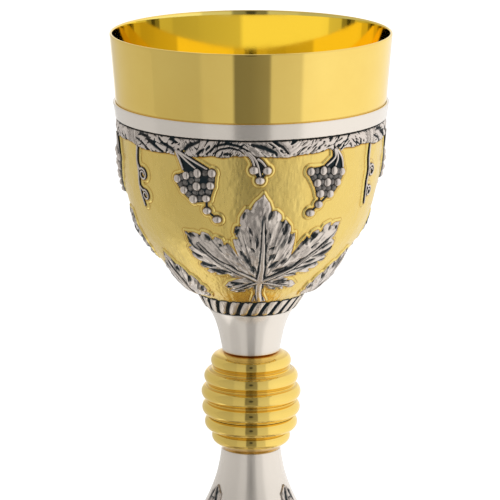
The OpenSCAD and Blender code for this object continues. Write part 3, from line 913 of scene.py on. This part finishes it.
def make_leaves(big, low, at_foot):
    def one(name, wall, region, azimuth, shape, node):
        v, f, p = relief_mesh(wall, region, azimuth, shape, LEAF_SPACING)
        make_piece(name, v, f.tolist(), m_leaf, [node], p)

    shape = leaf_surface(bowl, LEAF_VEINS, LEAF_STROKES, JUNCTION, big.notches)
    for side, turn in LEAF_TURNS.items():
        one(f"Leaf_{side}", bowl, big, turn, shape, f"leaf_{side}")
    shape = leaf_surface(bowl, LOW_LEAF_VEINS, both_sides(LOW_LEAF_STROKES), (0, 137))
    for side, turn in LOW_LEAF_TURNS.items():
        one(f"Low_leaf_{side}", bowl, low, turn, shape, f"low_leaf_{side}")
    shape = leaf_surface(foot, FOOT_LEAF_VEINS, both_sides(FOOT_LEAF_STROKES), (0, 24))
    for k, turn in enumerate(LOW_LEAF_TURNS.values()):
        one(f"Foot_leaf_{k + 1}", foot, at_foot, turn + FOOT_TURN, shape, f"foot_leaf_{k + 1}")


# ---- grapes, sprigs and tendrils ----------------------------------------------------------------

# Berries are (across, height, radius, how much taller than wide); the last two are a bunch's tail
BUNCH_LEFT = [
    (-6.6, 188.1, 1.4, 1.25), (-3, 189.6, 1.35, 1.3), (1.6, 190.9, 1.5, 1.4), (7, 191.2, 1.5, 1.25),
    (-4.1, 184.2, 1.45, 1.2), (1.1, 186, 1.5, 1.3), (6.3, 186.6, 1.45, 1.2), (-0.5, 181.1, 1.6, 1.2),
    (4.4, 181.7, 1.5, 1.1), (4.3, 177, 1.5, 1.05), (7.7, 173.9, 1.6, 1.0),
]
BUNCH_RIGHT = [
    (-7.9, 191.2, 1.4, 1.25), (-2.9, 191.1, 1.45, 1.4), (1.8, 190.6, 1.4, 1.4),
    (5.5, 189.8, 1.35, 1.25),
    (-5.1, 186.8, 1.45, 1.25), (-0.9, 186.6, 1.45, 1.3), (3.7, 186.1, 1.4, 1.2),
    (-3.5, 182.7, 1.5, 1.2), (0.7, 182.1, 1.45, 1.2), (-3.7, 178.6, 1.5, 1.1), (-6.7, 175.7, 1.6, 1.0),
]
BUNCH_STEMS_LEFT = [
    [(-6.8, 198.6), (-5.4, 195.5), (-4, 191.8)], [(-6.4, 198.6), (-2.6, 195.3), (1, 192.6)],
    [(-5.8, 198.4), (-0.2, 195.5), (5.4, 192.6)],
]
BUNCH_STEMS_RIGHT = [
    [(1.6, 198.8), (1.9, 195.6), (-1.8, 192.8)], [(2, 198.8), (3.2, 195.4), (2.2, 192.4)],
    [(2.5, 198.6), (5, 195.2), (5.8, 191.4)],
]
SPRIG = [(-3.4, 192.7, 1.65, 1.1), (1.3, 192.5, 1.6, 1.1), (-1.2, 188.9, 1.6, 1.05)]
SPRIG_STEMS = [[(-6.2, 199.4), (-4.2, 197), (-3.2, 194.2)], [(-5.6, 199.4), (-2.6, 196), (-1.1, 190.4)],
               [(-2.2, 197), (-0.6, 195.8), (0.8, 194)]]
FOOT_BUNCH = [(across, z, 1.45, 1.1) for across, z in (
    (-5.2, 36.2), (-1.7, 36.6), (1.7, 36.6), (5.2, 36.2), (-3.5, 33.8), (0, 34), (3.5, 33.8),
    (-1.8, 31.4), (1.8, 31.4), (0, 29), (0, 26.2),
)]
STEM_ROOT_R, STEM_R = 0.7, 0.45
TAIL = 2
# Height of a berry's middle over the wall, as a share of its radius
BERRY_RISE = 0.12
# Berries are made this much wider than listed, and no longer
BERRY_SIZE = 1.2
BERRY_ROWS, BERRY_COLUMNS = 15, 22


def berry(wall, across, z, azimuth, radius, long, sunk=0.0):
    """A grape half out of the wall, darkened where it turns in; a sunk one is dark all over."""
    radius, long = BERRY_SIZE * radius, long / BERRY_SIZE
    s = wall.up_to(z)
    turn = wall.turn_of(across, s, azimuth)
    centre = wall.at_turn(turn, s, BERRY_RISE * radius - sunk)
    out = wall.at_turn(turn, s, radius + 1) - wall.at_turn(turn, s, radius)
    out /= np.linalg.norm(out)
    side = np.array([math.cos(turn), math.sin(turn), 0])
    up = np.cross(out, side)
    rows, columns = BERRY_ROWS, BERRY_COLUMNS
    polar = np.linspace(0.0, math.pi, rows)[:, None]
    round_ = (np.arange(columns) * 2 * math.pi / columns)[None, :]
    a = np.cos(polar) + 0 * round_
    b, c = np.sin(polar) * np.cos(round_), np.sin(polar) * np.sin(round_)
    v = centre + radius * MM * (a[..., None] * out + b[..., None] * side + long * c[..., None] * up)
    # Painted shade: a berry is left light in the middle and turns dark towards its edges, and a sunk
    # berry is a dark lump put where shade falls between the others
    shade = 0.62 if long < 1.15 else 0.88
    dark = 0.12 + shade * smoothstep(0.84, 0.3, a)
    return v, quads_of(rows, columns, True), np.maximum(dark, 0.68 if sunk else 0)


def strand(wall, line, azimuth, radii, lift):
    """A round wire laid along the wall."""
    path = wall.flat(smooth_path(line, 6))
    return tube_mesh(wall.place(path[:, 0], path[:, 1], lift, azimuth),
                     np.linspace(*radii, len(path)), 8)


def backing_surface(points, d):
    # The web is near black all over: patina in the recess, and painted shade between the berries and
    # stems
    return 0.3 + 0.35 * smoothstep(0.0, 0.5, d), np.full(len(points), 0.95)


# Half widths of the web: round a berry, between berries, between the tail's, and along a stem
BACKING_R, BODY_WEB_R, TAIL_WEB_R, STEM_WEB_R = 1.9, 1.75, 0.75, 0.95
FAN_DROP = 2.6
# A sunk berry: its radius, how much taller than wide, and how far below the others' middles
SUNK_BERRY = (1.25, 1.2, 0.5)
STEM_LIFT = 0.7
# Berries nearer than this, in mm, have a sunk berry between them; a web joins those in WEB_REACH
LINK_REACH, WEB_REACH = 5.9, 8.0


def links_of(wall, berries, reach=LINK_REACH):
    spots = wall.flat([q[:2] for q in berries])
    return [(i, j) for i in range(len(spots)) for j in range(i)
            if np.hypot(*(spots[i] - spots[j])) < reach]


def cluster_region(wall, berries, stems):
    """The dark web under a cluster: round berries, between near ones and along the stems."""
    spots = wall.flat([q[:2] for q in berries])
    body = [spots[[i, j]] for i, j in links_of(wall, berries, WEB_REACH) if i < len(spots) - TAIL]
    ends = [spots[[i, j]] for i, j in links_of(wall, berries) if i >= len(spots) - TAIL]
    groups = [([spot[None] for spot in spots], BACKING_R), (body, BODY_WEB_R), (ends, TAIL_WEB_R),
              ([wall.flat(line) for line in stems], STEM_WEB_R)]
    regions = [Strands(lines, radius) for lines, radius in groups if lines]
    if stems:
        # the outermost stems bound a fan, which runs down behind the berries
        ends = [(across, z - FAN_DROP) for across, z in (stems[0][-1], stems[-1][-1])]
        regions.append(Outline(wall.flat(stems[0] + ends + stems[-1][::-1])))
    return Joined(regions)


def make_cluster(name, wall, azimuth, berries, stems, node):
    heap = Heap()
    for across, z, radius, long in berries:
        heap.add(*berry(wall, across, z, azimuth, radius, long))
    for i, j in links_of(wall, berries):
        if i < len(berries) - TAIL:
            across, z = (np.array(berries[i][:2]) + berries[j][:2]) / 2
            heap.add(*berry(wall, across, z, azimuth, *SUNK_BERRY))
    for line in stems:
        v, f, height = strand(wall, line, azimuth, (STEM_ROOT_R, STEM_R), STEM_LIFT)
        # Painted shade: a stem is light along its outward top and dark down its sides and underneath
        heap.add(v, f, 1.1 - height * np.abs(height))
    heap.add(*relief_mesh(wall, cluster_region(wall, berries, stems), azimuth, backing_surface,
                          BACKING_SPACING))
    heap.piece(name, m_relief, [node])


def bunch_at(turn):
    """Berries and stems of the bunch at an azimuth: the two kinds alternate."""
    left = round((turn + 30) / 60) % 2 == 0
    return (BUNCH_LEFT, BUNCH_STEMS_LEFT) if left else (BUNCH_RIGHT, BUNCH_STEMS_RIGHT)


BUNCH_TURNS = [-30, 30, 90, 150, 210, 270]


def make_clusters():
    for k, turn in enumerate(BUNCH_TURNS):
        make_cluster(f"Grapes_{k + 1}", bowl, turn, *bunch_at(turn), f"grapes_{k + 1}")
    for side, turn in LEAF_TURNS.items():
        make_cluster(f"Sprig_{side}", bowl, turn, SPRIG, SPRIG_STEMS, f"sprig_{side}")
    for k, turn in enumerate(LEAF_TURNS.values()):
        make_cluster(f"Foot_grapes_{k + 1}", foot, turn + FOOT_TURN, FOOT_BUNCH, [],
                     f"foot_grapes_{k + 1}")


def spiral(centre, r0, r1, start, turns, steps=30):
    w = np.radians(start) + np.linspace(0, 2 * math.pi * turns, steps)
    r = np.linspace(r0, r1, steps)
    return [(centre[0] + a * math.cos(b), centre[1] + a * math.sin(b)) for a, b in zip(r, w)]


# A tendril is a stem with two curls that spring from it
TENDRIL_STEM = [(-1.8, 197.5), (-2.4, 192.5), (-1.8, 188), (-2.3, 183.5), (-1.8, 179.5), (-0.9, 175.2)]
CURL_HIGH = [(-1.9, 190.5)] + spiral((0.5, 187.2), 2.3, 0.8, 130, -1.35)
CURL_LOW = [(-2.2, 182.5)] + spiral((0.6, 179.4), 2.0, 0.7, 120, -1.3)
TENDRIL_LINES = [TENDRIL_STEM, CURL_HIGH, CURL_LOW]
TENDRIL_RADII = [(0.6, 0.4), (0.5, 0.38), (0.45, 0.35)]
TENDRIL_LIFT = 0.6
TENDRIL_HALO_R = 0.85
BACKING_SPACING = 0.4
# The castings were set by eye, so each tendril stands a little aside, in mm
TENDRIL_ASIDE = {"right": -1.8, "back": 0.0, "left": 0.6}


def tendril_lines(side):
    return [[(x + TENDRIL_ASIDE[side], z) for x, z in line] for line in TENDRIL_LINES]


def tendril_region(side):
    return Strands([bowl.flat(line) for line in tendril_lines(side)], TENDRIL_HALO_R)


def make_tendrils():
    for side, turn in LOW_LEAF_TURNS.items():
        heap = Heap()
        for line, radii in zip(tendril_lines(side), TENDRIL_RADII):
            v, f, height = strand(bowl, line, turn, radii, TENDRIL_LIFT)
            # Painted shade: a tendril is light along its outward top and dark down its sides and
            # underneath
            heap.add(v, f, 1.05 - height * np.abs(height))
        heap.add(*relief_mesh(bowl, tendril_region(side), turn, backing_surface, BACKING_SPACING))
        heap.piece(f"Tendril_{side}", m_relief, [f"tendril_{side}"])


# ---- vine band ----------------------------------------------------------------------------------

VINE_TOP_Z = 203.58
# Lower edge of the vine over one repeat, (azimuth from a leaf, height)
VINE_EDGE = [
    (-60, 196.8), (-50, 196.6), (-42, 196.9), (-38, 196.5), (-33, 196.3), (-26, 196.8), (-22, 197.4),
    (-17, 196.8), (-13, 197.6), (-7, 197.6), (-3, 197.4), (2, 197.3), (10, 196.8), (14, 197.4),
    (24, 197.8), (30, 198.8), (31.5, 197.2), (36, 197.2), (37.5, 198.2), (44, 197.8), (50, 198.2),
    (56, 197.6), (60, 196.8),
]
# Dark gaps between the twigs: half width and the line, as (azimuth, height)
VINE_STROKES = [
    (0.5, [(-62, 200.6), (-57, 199), (-53, 196.8)]),
    (0.85, [(-59, 202.3), (-55, 202), (-49, 199), (-44, 196.8)]),
    (0.8, [(-47, 202.2), (-45, 200.5), (-40, 199), (-37.5, 196.5)]),
    (0.75, [(-40.5, 202.5), (-38, 201.6)]),
    (0.85, [(-27, 202.5), (-32, 200.8), (-35, 198), (-36, 196.5)]),
    (0.6, [(-25, 200), (-28, 198), (-27.5, 197)]),
    (0.5, [(-24, 198), (-20, 201.3), (-15, 202.4), (-10, 201.5), (-6, 199.5), (-5, 197.5)]),
    (0.4, [(-21, 198.5), (-18, 200.2), (-14, 200.9), (-10, 200), (-8, 198.6)]),
    (0.6, [(-16.5, 198.4), (-14, 198.6)]), (1.0, [(-5, 202), (0, 201), (5, 199), (5.5, 198)]),
    (0.6, [(4, 203), (8, 201), (10.5, 198.5)]), (0.3, [(2, 202.6), (5, 200.8)]),
    (0.35, [(31.6, 200), (32.4, 198)]), (0.35, [(34, 198.6), (35, 197.4)]),
]
# How densely the bark is flecked: (azimuth, share)
FLECKED = [
    (-60, 0.8), (-50, 0.7), (-40, 0.8), (-30, 0.7), (-22, 1.0), (-14, 1.0), (-8, 0.8), (-3, 0.2),
    (6, 0.3),
    (12, 0.5), (16, 1.0), (36, 1.0), (42, 1.0), (56, 0.95), (60, 0.8),
]
# Way the bark's grain runs: (azimuth, slope in degrees)
VINE_GRAIN = [
    (-60, -30), (-45, -38), (-36, -60), (-33, 30), (-28, 48), (-20, 36), (-14, 0), (-8, -40), (0, -34),
    (8, -36), (16, -4), (24, 14), (40, 22), (52, 8), (60, -30),
]
REPEAT = 120.0
VINE_COLUMNS, VINE_ROWS = 2160, 42
# The bark's grain turns about this height, and its flecks are long along it: cells to a mm along
# and across, and a start
VINE_MIDDLE_Z = 200
FLECKS_LONG, FLECKS_SHORT, FIBRE = (0.55, 1.9, 200, 128), (0.85, 2.5, 500, 60), (0.4, 1.5, 700, 30)
# The bark's edge stands this high; its middle is higher by the round, reached over some width
VINE_LOW, VINE_ROUND, ROUND_WIDTH = 0.35, 0.75, 0.55
# How deep the dark gaps, the flecks and the line under the rim band are cut
GAP_DEPTH, FLECK_DEPTH, LINE_DEPTH = 0.55, 0.35, 0.4


def degrees_apart(turn, centre):
    """Signed angle from a centre, the pattern being repeated three times round."""
    return (turn - centre + REPEAT / 2) % REPEAT - REPEAT / 2


def by_turn(table, turn):
    """A value that changes round one repeat of the pattern."""
    table = np.array(table, float)
    return np.interp(degrees_apart(turn, 0), table[:, 0], table[:, 1])


def vine_low(turn):
    return by_turn(VINE_EDGE, turn)


def make_vine_band():
    turn = np.arange(VINE_COLUMNS) * 360.0 / VINE_COLUMNS
    ragged = 0.35 * (noise(turn * 0.9, 0 * turn + 3, 324) - 0.5)
    low = vine_low(turn) + ragged
    t = np.linspace(0, 1, VINE_ROWS)[:, None]
    z = low[None, :] + t * (VINE_TOP_Z - low[None, :])
    turn_2d = np.broadcast_to(turn[None, :], z.shape)
    scale = math.radians(1) * float(bowl.radius(bowl.up_to(VINE_MIDDLE_Z)))
    dark = np.zeros(z.shape)
    for half, line in VINE_STROKES:
        line = np.array(line, float)
        middle = line[:, 0].mean()
        flat = np.stack([degrees_apart(turn_2d, middle).ravel() * scale, z.ravel()], 1)
        away, along = line_distance(flat, np.stack([(line[:, 0] - middle) * scale, line[:, 1]], 1))
        width = half * (0.55 + 0.55 * np.sin(math.pi * along))
        width *= 0.8 + 0.4 * noise(flat[:, 0] * 1.4 + 300, flat[:, 1] * 1.4)
        dark = np.maximum(dark, bell(away, width).reshape(z.shape))
    across = degrees_apart(turn_2d, 0) * scale
    way = np.radians(by_turn(VINE_GRAIN, turn_2d))
    high = z - VINE_MIDDLE_Z
    along = across * np.cos(way) + high * np.sin(way)
    aside = high * np.cos(way) - across * np.sin(way)

    def bark(long, wide, start_along, start_aside):
        return noise(along * long + start_along, aside * wide + start_aside)

    flecks = np.maximum(bark(*FLECKS_LONG), bark(*FLECKS_SHORT) - 0.04)
    share = by_turn(FLECKED, turn_2d)
    flecks = smoothstep(0.76, 0.84, flecks + 0.2 * (share - 0.6))
    fibre = bark(*FIBRE)
    edge = np.minimum(z - low[None, :], VINE_TOP_Z - z)
    lift = VINE_LOW + VINE_ROUND * (1 - np.exp(-edge / ROUND_WIDTH)) + 0.3 * (fibre - 0.5)
    # A dark line just under the rim band: a shallow groove, darkened further as painted shadow
    line = bell(VINE_TOP_Z - z, 0.6)
    lift = np.maximum(lift - GAP_DEPTH * dark - FLECK_DEPTH * flecks - LINE_DEPTH * line, 0.15)
    patina_and_painted_light = np.clip(0.04 + dark + 0.95 * flecks + 0.1 * smoothstep(0.6, 0.9, fibre) + 1.3 * line
                     + 0.8 * bell(z - low[None, :], 0.3), 0, 1)
    s = bowl.up_to(z)
    v = bowl.at_turn(np.radians(turn_2d), s, lift)
    skirt = bowl.at_turn(np.radians(turn)[None, :], bowl.up_to(low)[None, :], SKIRT_LIFT)
    heap = Heap()
    heap.add(np.concatenate([skirt, v]), quads_of(VINE_ROWS + 1, VINE_COLUMNS, True),
             np.concatenate([np.full((1, VINE_COLUMNS), 0.6), patina_and_painted_light]))
    heap.piece("Vine_band", m_relief, ["vine_band"])


# ---- bowl ground ---------------------------------------------------------------------------------

# The ground is made in three pieces; each has this many faces across and up
GROUND_COLUMNS, GROUND_ROWS = 400, 236
HALO_RISE = 0.5
HALO_IN, HALO_OUT = 0.5, 0.95
# Out of sight under an ornament, this far in from its edge, the ground drops to this lift
HIDDEN_FROM, HIDDEN_LIFT = 0.6, -0.15
DENT_DEPTH, SCRAPE_DEPTH = 0.16, 0.05


def ground_halo(turn, s, big, low):
    """How near each ground point is to an ornament's edge, in mm."""
    away = np.full(turn.shape, 1e3)
    regions = [(t, big) for t in LEAF_TURNS.values()] + [(t, low) for t in LOW_LEAF_TURNS.values()]
    regions += [(t, cluster_region(bowl, *bunch_at(t))) for t in BUNCH_TURNS]
    regions += [(t, cluster_region(bowl, SPRIG, SPRIG_STEMS)) for t in LEAF_TURNS.values()]
    regions += [(t, tendril_region(side)) for side, t in LOW_LEAF_TURNS.items()]
    for azimuth, region in regions:
        apart = (turn - azimuth + 180) % 360 - 180
        across = np.radians(apart) * bowl.radius(s)
        margin = HALO_OUT + 0.8
        near = ((across > region.low[0] - margin) & (across < region.high[0] + margin)
                & (s > region.low[1] - margin) & (s < region.high[1] + margin))
        if near.any():
            d, _ = region.measure(np.stack([across[near], s[near]], 1))
            away[near] = np.minimum(away[near], -d)
    return away


def hoops(rings, turn):
    """Rows of vertices round the axis, each given as (radius, height)."""
    angle = np.radians(turn[:1])
    return np.concatenate([np.stack([r * np.sin(angle), -r * np.cos(angle), z + 0 * angle], -1) * MM
                           for r, z in rings])


def make_bowl_ground(big, low):
    for side, middle in LEAF_TURNS.items():
        turn = middle + np.linspace(-60, 60, GROUND_COLUMNS + 1)
        turn, s = np.meshgrid(turn, np.linspace(0, bowl.up_to(203.5), GROUND_ROWS + 1))
        away = ground_halo(turn, s, big, low)
        whole = turn % 360
        dents = noise(whole * 0.25, s * 0.27 + 5, 90) + 0.5 * noise(whole * 0.6, s * 0.6 + 50, 216)
        scrape = noise(whole * 1.6, s * 0.5 + 90, 576)
        lift = HALO_RISE * smoothstep(HALO_OUT, HALO_IN, away)
        calm = smoothstep(0.6, 2.4, away)
        worked = DENT_DEPTH * (dents - 0.75) + SCRAPE_DEPTH * (scrape - 0.5)
        lift += worked * (0.3 + 0.7 * calm)
        under_vine = bowl.up_to(vine_low(turn)) - s
        # Painted light round each ornament: painted shade at its edge, at the outer foot of the raised
        # halo and just under the vine band, and a painted highlight on the halo's slope
        painted_shade_and_highlight = bell(away - 0.02, 0.16) + 0.8 * bell(away - HALO_OUT - 0.12, 0.17)
        painted_shade_and_highlight += bell(under_vine - 0.1, 0.3)
        painted_shade_and_highlight = np.clip(painted_shade_and_highlight - 0.9 * bell(away - 0.58, 0.22), -1, 1)
        lift = np.where(away < -HIDDEN_FROM, HIDDEN_LIFT, lift)
        below = hoops([(8.0, 136.0), (19.2, 136.1)], turn)
        above = hoops([(48.6, 203.6), (48.0, 203.4), (47.6, 202.0)], turn)
        v = np.concatenate([below, bowl.at_turn(np.radians(turn), s, lift), above])
        painted_shade_and_highlight = np.pad(painted_shade_and_highlight, ((len(below), len(above)), (0, 0)))
        make_piece(f"Bowl_ground_{side}", v, quads_of(len(v), GROUND_COLUMNS + 1, False).tolist(),
                   m_ground, ["bowl_shell"], painted_shade_and_highlight)


# ---- rope ring -------------------------------------------------------------------------------------

ROPE_STRANDS = 26
ROPE_COLUMNS = ROPE_STRANDS * 24
# How far a strand runs round from its lower end to its upper end, in degrees
ROPE_SHIFT = 18.0
# A strand's crown stands up by its rise from a groove floor this deep under the face
CROWN_RISE, ROPE_GROOVE = 1.25, 1.0
ROPE_FACE = [(14.4, 129.9), (15.9, 130.0), (16.9, 130.9), (18.2, 132.8), (19.3, 134.6), (20.2, 136.2),
             (20.4, 137.1), (19.6, 137.7)]


def make_rope_ring():
    face = smooth_path(ROPE_FACE, 5)
    t = np.linspace(0, 1, len(face))[:, None]
    turn = (np.arange(ROPE_COLUMNS) * 360.0 / ROPE_COLUMNS)[None, :]
    u = ((turn - ROPE_SHIFT * t) * ROPE_STRANDS / 360.0) % 1.0 * 2 - 1
    # each strand has a round lower end
    off = np.hypot(u, smoothstep(0.42, 0.16, t))
    crown = np.sqrt(np.clip(1 - (0.98 * off) ** 2, 0, 1))
    ends = np.sin(math.pi * np.clip(0.12 + 0.8 * t, 0, 1)) ** 0.5
    ahead = np.gradient(face, axis=0)
    ahead /= np.hypot(*ahead.T)[:, None]
    lift = (CROWN_RISE * crown - ROPE_GROOVE) * ends
    grain = noise(turn * 1.1 + 0 * t, t * 9 + u * 2.5 + 30, 396)
    lift = lift + 0.12 * (grain - 0.5) * crown
    r = face[:, :1] + lift * ahead[:, 1:]
    z = face[:, 1:] - lift * ahead[:, :1]
    a = np.radians(turn)
    v = np.stack([r * np.sin(a), -r * np.cos(a), z + 0 * a], -1) * MM
    # Darker down each strand's sides, partly patina in the grooves and partly painted shade; a painted
    # shadow round each strand's lower end; darker along the top where the strands meet the gold
    patina_and_painted_light = smoothstep(0.5, 0.74, off) + 0.3 * smoothstep(0.5, 0.9, grain) + smoothstep(0.7, 0.82, t)
    patina_and_painted_light = np.clip(patina_and_painted_light, 0.05, 1)
    v = np.concatenate([v, hoops([(18.6, 136.6), (12.6, 136.4), (12.6, 130.4)], turn), v[:1]])
    patina_and_painted_light = np.concatenate([patina_and_painted_light, np.ones((3, ROPE_COLUMNS)), patina_and_painted_light[:1]])
    make_piece("Rope_ring", v, quads_of(len(v), ROPE_COLUMNS, True).tolist(), m_rope,
               ["rope_ring"], patina_and_painted_light)


# ---- assembly ---------------------------------------------------------------------------------------

def give_material(node, material):
    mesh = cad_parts[node].data
    mesh.materials.clear()
    mesh.materials.append(material)


def build():
    make_cup()
    make_rim_band()
    make_neck()
    make_knop()
    make_foot_shell()
    make_foot_rim()
    big, low, at_foot = leaf_regions()
    make_leaves(big, low, at_foot)
    make_clusters()
    make_tendrils()
    make_vine_band()
    make_bowl_ground(big, low)
    make_rope_ring()
    give_material("cup_boss", m_lip)
    for node in ("tie_rod", "washer", "lock_washer", "nut"):
        give_material(node, m_steel)


build()


# ---- light ----------------------------------------------------------------------------------------

# Brightness of the studio round the object: (azimuth from the viewer, brightness)
STUDIO = [
    (-180, 1.0), (-168, 1.0), (-160, 0.66), (-122, 0.6), (-105, 0.58), (-90, 0.54), (-60, 0.50),
    (-43, 0.49), (-39, 0.57), (-15, 0.59), (-13, 0.20), (0, 0.215), (15, 0.28), (17, 0.65), (32, 0.68),
    (41, 0.71), (44, 0.95), (60, 1.0), (130, 1.0), (180, 1.0),
]


# The stripes of light and dark lean in above and below, as flat boards do
BOARD_LEAN = 0.4
# The table lifts what lies low in front, by the direction's height: start, end and brightness
TABLE_FRONT = (-0.35, -0.65, 0.31)
TABLE_BEHIND = (-0.5, -0.8, 1.0)
# The boards end at the first height; a dark ceiling starts at the second
BOARDS_END, CEILING = 0.92, 0.955
BOARDS_OVER, CEILING_DARK = 0.75, 0.25
# The camera, as a dark spot: how wide and how tall
CAMERA_SPOT = (0.08, 0.28)


class World(Tree):
    """Short calls for the studio's nodes."""

    def __init__(self):
        world = bpy.data.worlds.new("Studio")
        bpy.context.scene.world = world
        world.use_nodes = True
        super().__init__(world.node_tree)
        self.tree.nodes.clear()

    def mix(self, factor, a, b):
        return self.math("ADD", a, self.math("MULTIPLY", factor, self.math("SUBTRACT", b, a)))


def make_studio():
    w = World()
    way = w.add("ShaderNodeTexCoord").outputs["Generated"]
    turn = math.radians(VIEWER_TURN)
    axes = (math.cos(turn), math.sin(turn), 0), (math.sin(turn), -math.cos(turn), 0)
    aside, near = (w.add("ShaderNodeVectorMath", way, axis, operation="DOT_PRODUCT").outputs["Value"]
                   for axis in axes)
    z = w.add("ShaderNodeSeparateXYZ", way).outputs[2]
    far = w.math("SQRT", w.math("ADD", w.math("MULTIPLY", near, near),
                                w.math("MULTIPLY", w.math("MULTIPLY", z, z), BOARD_LEAN)))
    angle = w.math("ARCTAN2", aside, w.math("MULTIPLY", far, w.math("SIGN", near)))
    ramp = w.add("ShaderNodeValToRGB", w.ramp(angle, -math.pi, math.pi))
    stops = ramp.color_ramp.elements
    while len(stops) < len(STUDIO):
        stops.new(0.5)
    for stop, (azimuth, level) in zip(stops, STUDIO):
        stop.position = (azimuth + 180) / 360
        stop.color = (level, level, level, 1)
    behind = w.math("LESS_THAN", near, 0.0)
    table = w.mix(behind, w.ramp(z, *TABLE_FRONT[:2], 0.0, TABLE_FRONT[2]),
                  w.ramp(z, *TABLE_BEHIND[:2], 0.0, TABLE_BEHIND[2]))
    level = w.math("MAXIMUM", ramp.outputs[0], table)
    offsets = (aside, w.math("SUBTRACT", z, CAMERA_Z))
    spot = w.math("ADD", *(w.math("POWER", w.math("DIVIDE", offset, half), 2.0)
                           for offset, half in zip(offsets, CAMERA_SPOT)))
    seen_spot = w.math("MULTIPLY", w.ramp(spot, 0.6, 1.6, 1.0, 0.0), w.math("SUBTRACT", 1.0, behind))
    level = w.mix(seen_spot, level, CAMERA_DARK)
    for start, brightness in ((BOARDS_END, BOARDS_OVER), (CEILING, CEILING_DARK)):
        level = w.mix(w.ramp(z, start - 0.01, start + 0.01), level, brightness)
    gain = w.ramp(z, *GAIN_HEIGHTS, SIDE_GAIN, TOP_GAIN)
    lit = w.add("ShaderNodeBackground", (1, 1, 1, 1), w.math("MULTIPLY", level, gain))
    seen = w.add("ShaderNodeBackground", (1, 1, 1, 1), 1.0)
    path = w.add("ShaderNodeLightPath")
    mixed = w.add("ShaderNodeMixShader", path.outputs["Is Camera Ray"], lit.outputs[0], seen.outputs[0])
    w.tree.links.new(mixed.outputs[0], w.add("ShaderNodeOutputWorld").inputs["Surface"])


CAMERA_Z = math.sin(math.radians(CAMERA_PITCH))
CAMERA_DARK = 0.06
SIDE_GAIN, TOP_GAIN = 1.0, 0.9
GAIN_HEIGHTS = (-0.2, 0.9)


def make_floor():
    size = 6.0
    corners = [(-size, -size, 0), (size, -size, 0), (size, size, 0), (-size, size, 0)]
    mesh = bpy.data.meshes.new("Floor")
    mesh.from_pydata(corners, [], [(0, 1, 2, 3)])
    mesh.materials.append(floor_paper())
    obj = bpy.data.objects.new("Floor", mesh)
    bpy.context.scene.collection.objects.link(obj)
    obj.visible_glossy = False


make_studio()
make_floor()
bpy.context.scene.view_settings.view_transform = "Standard"
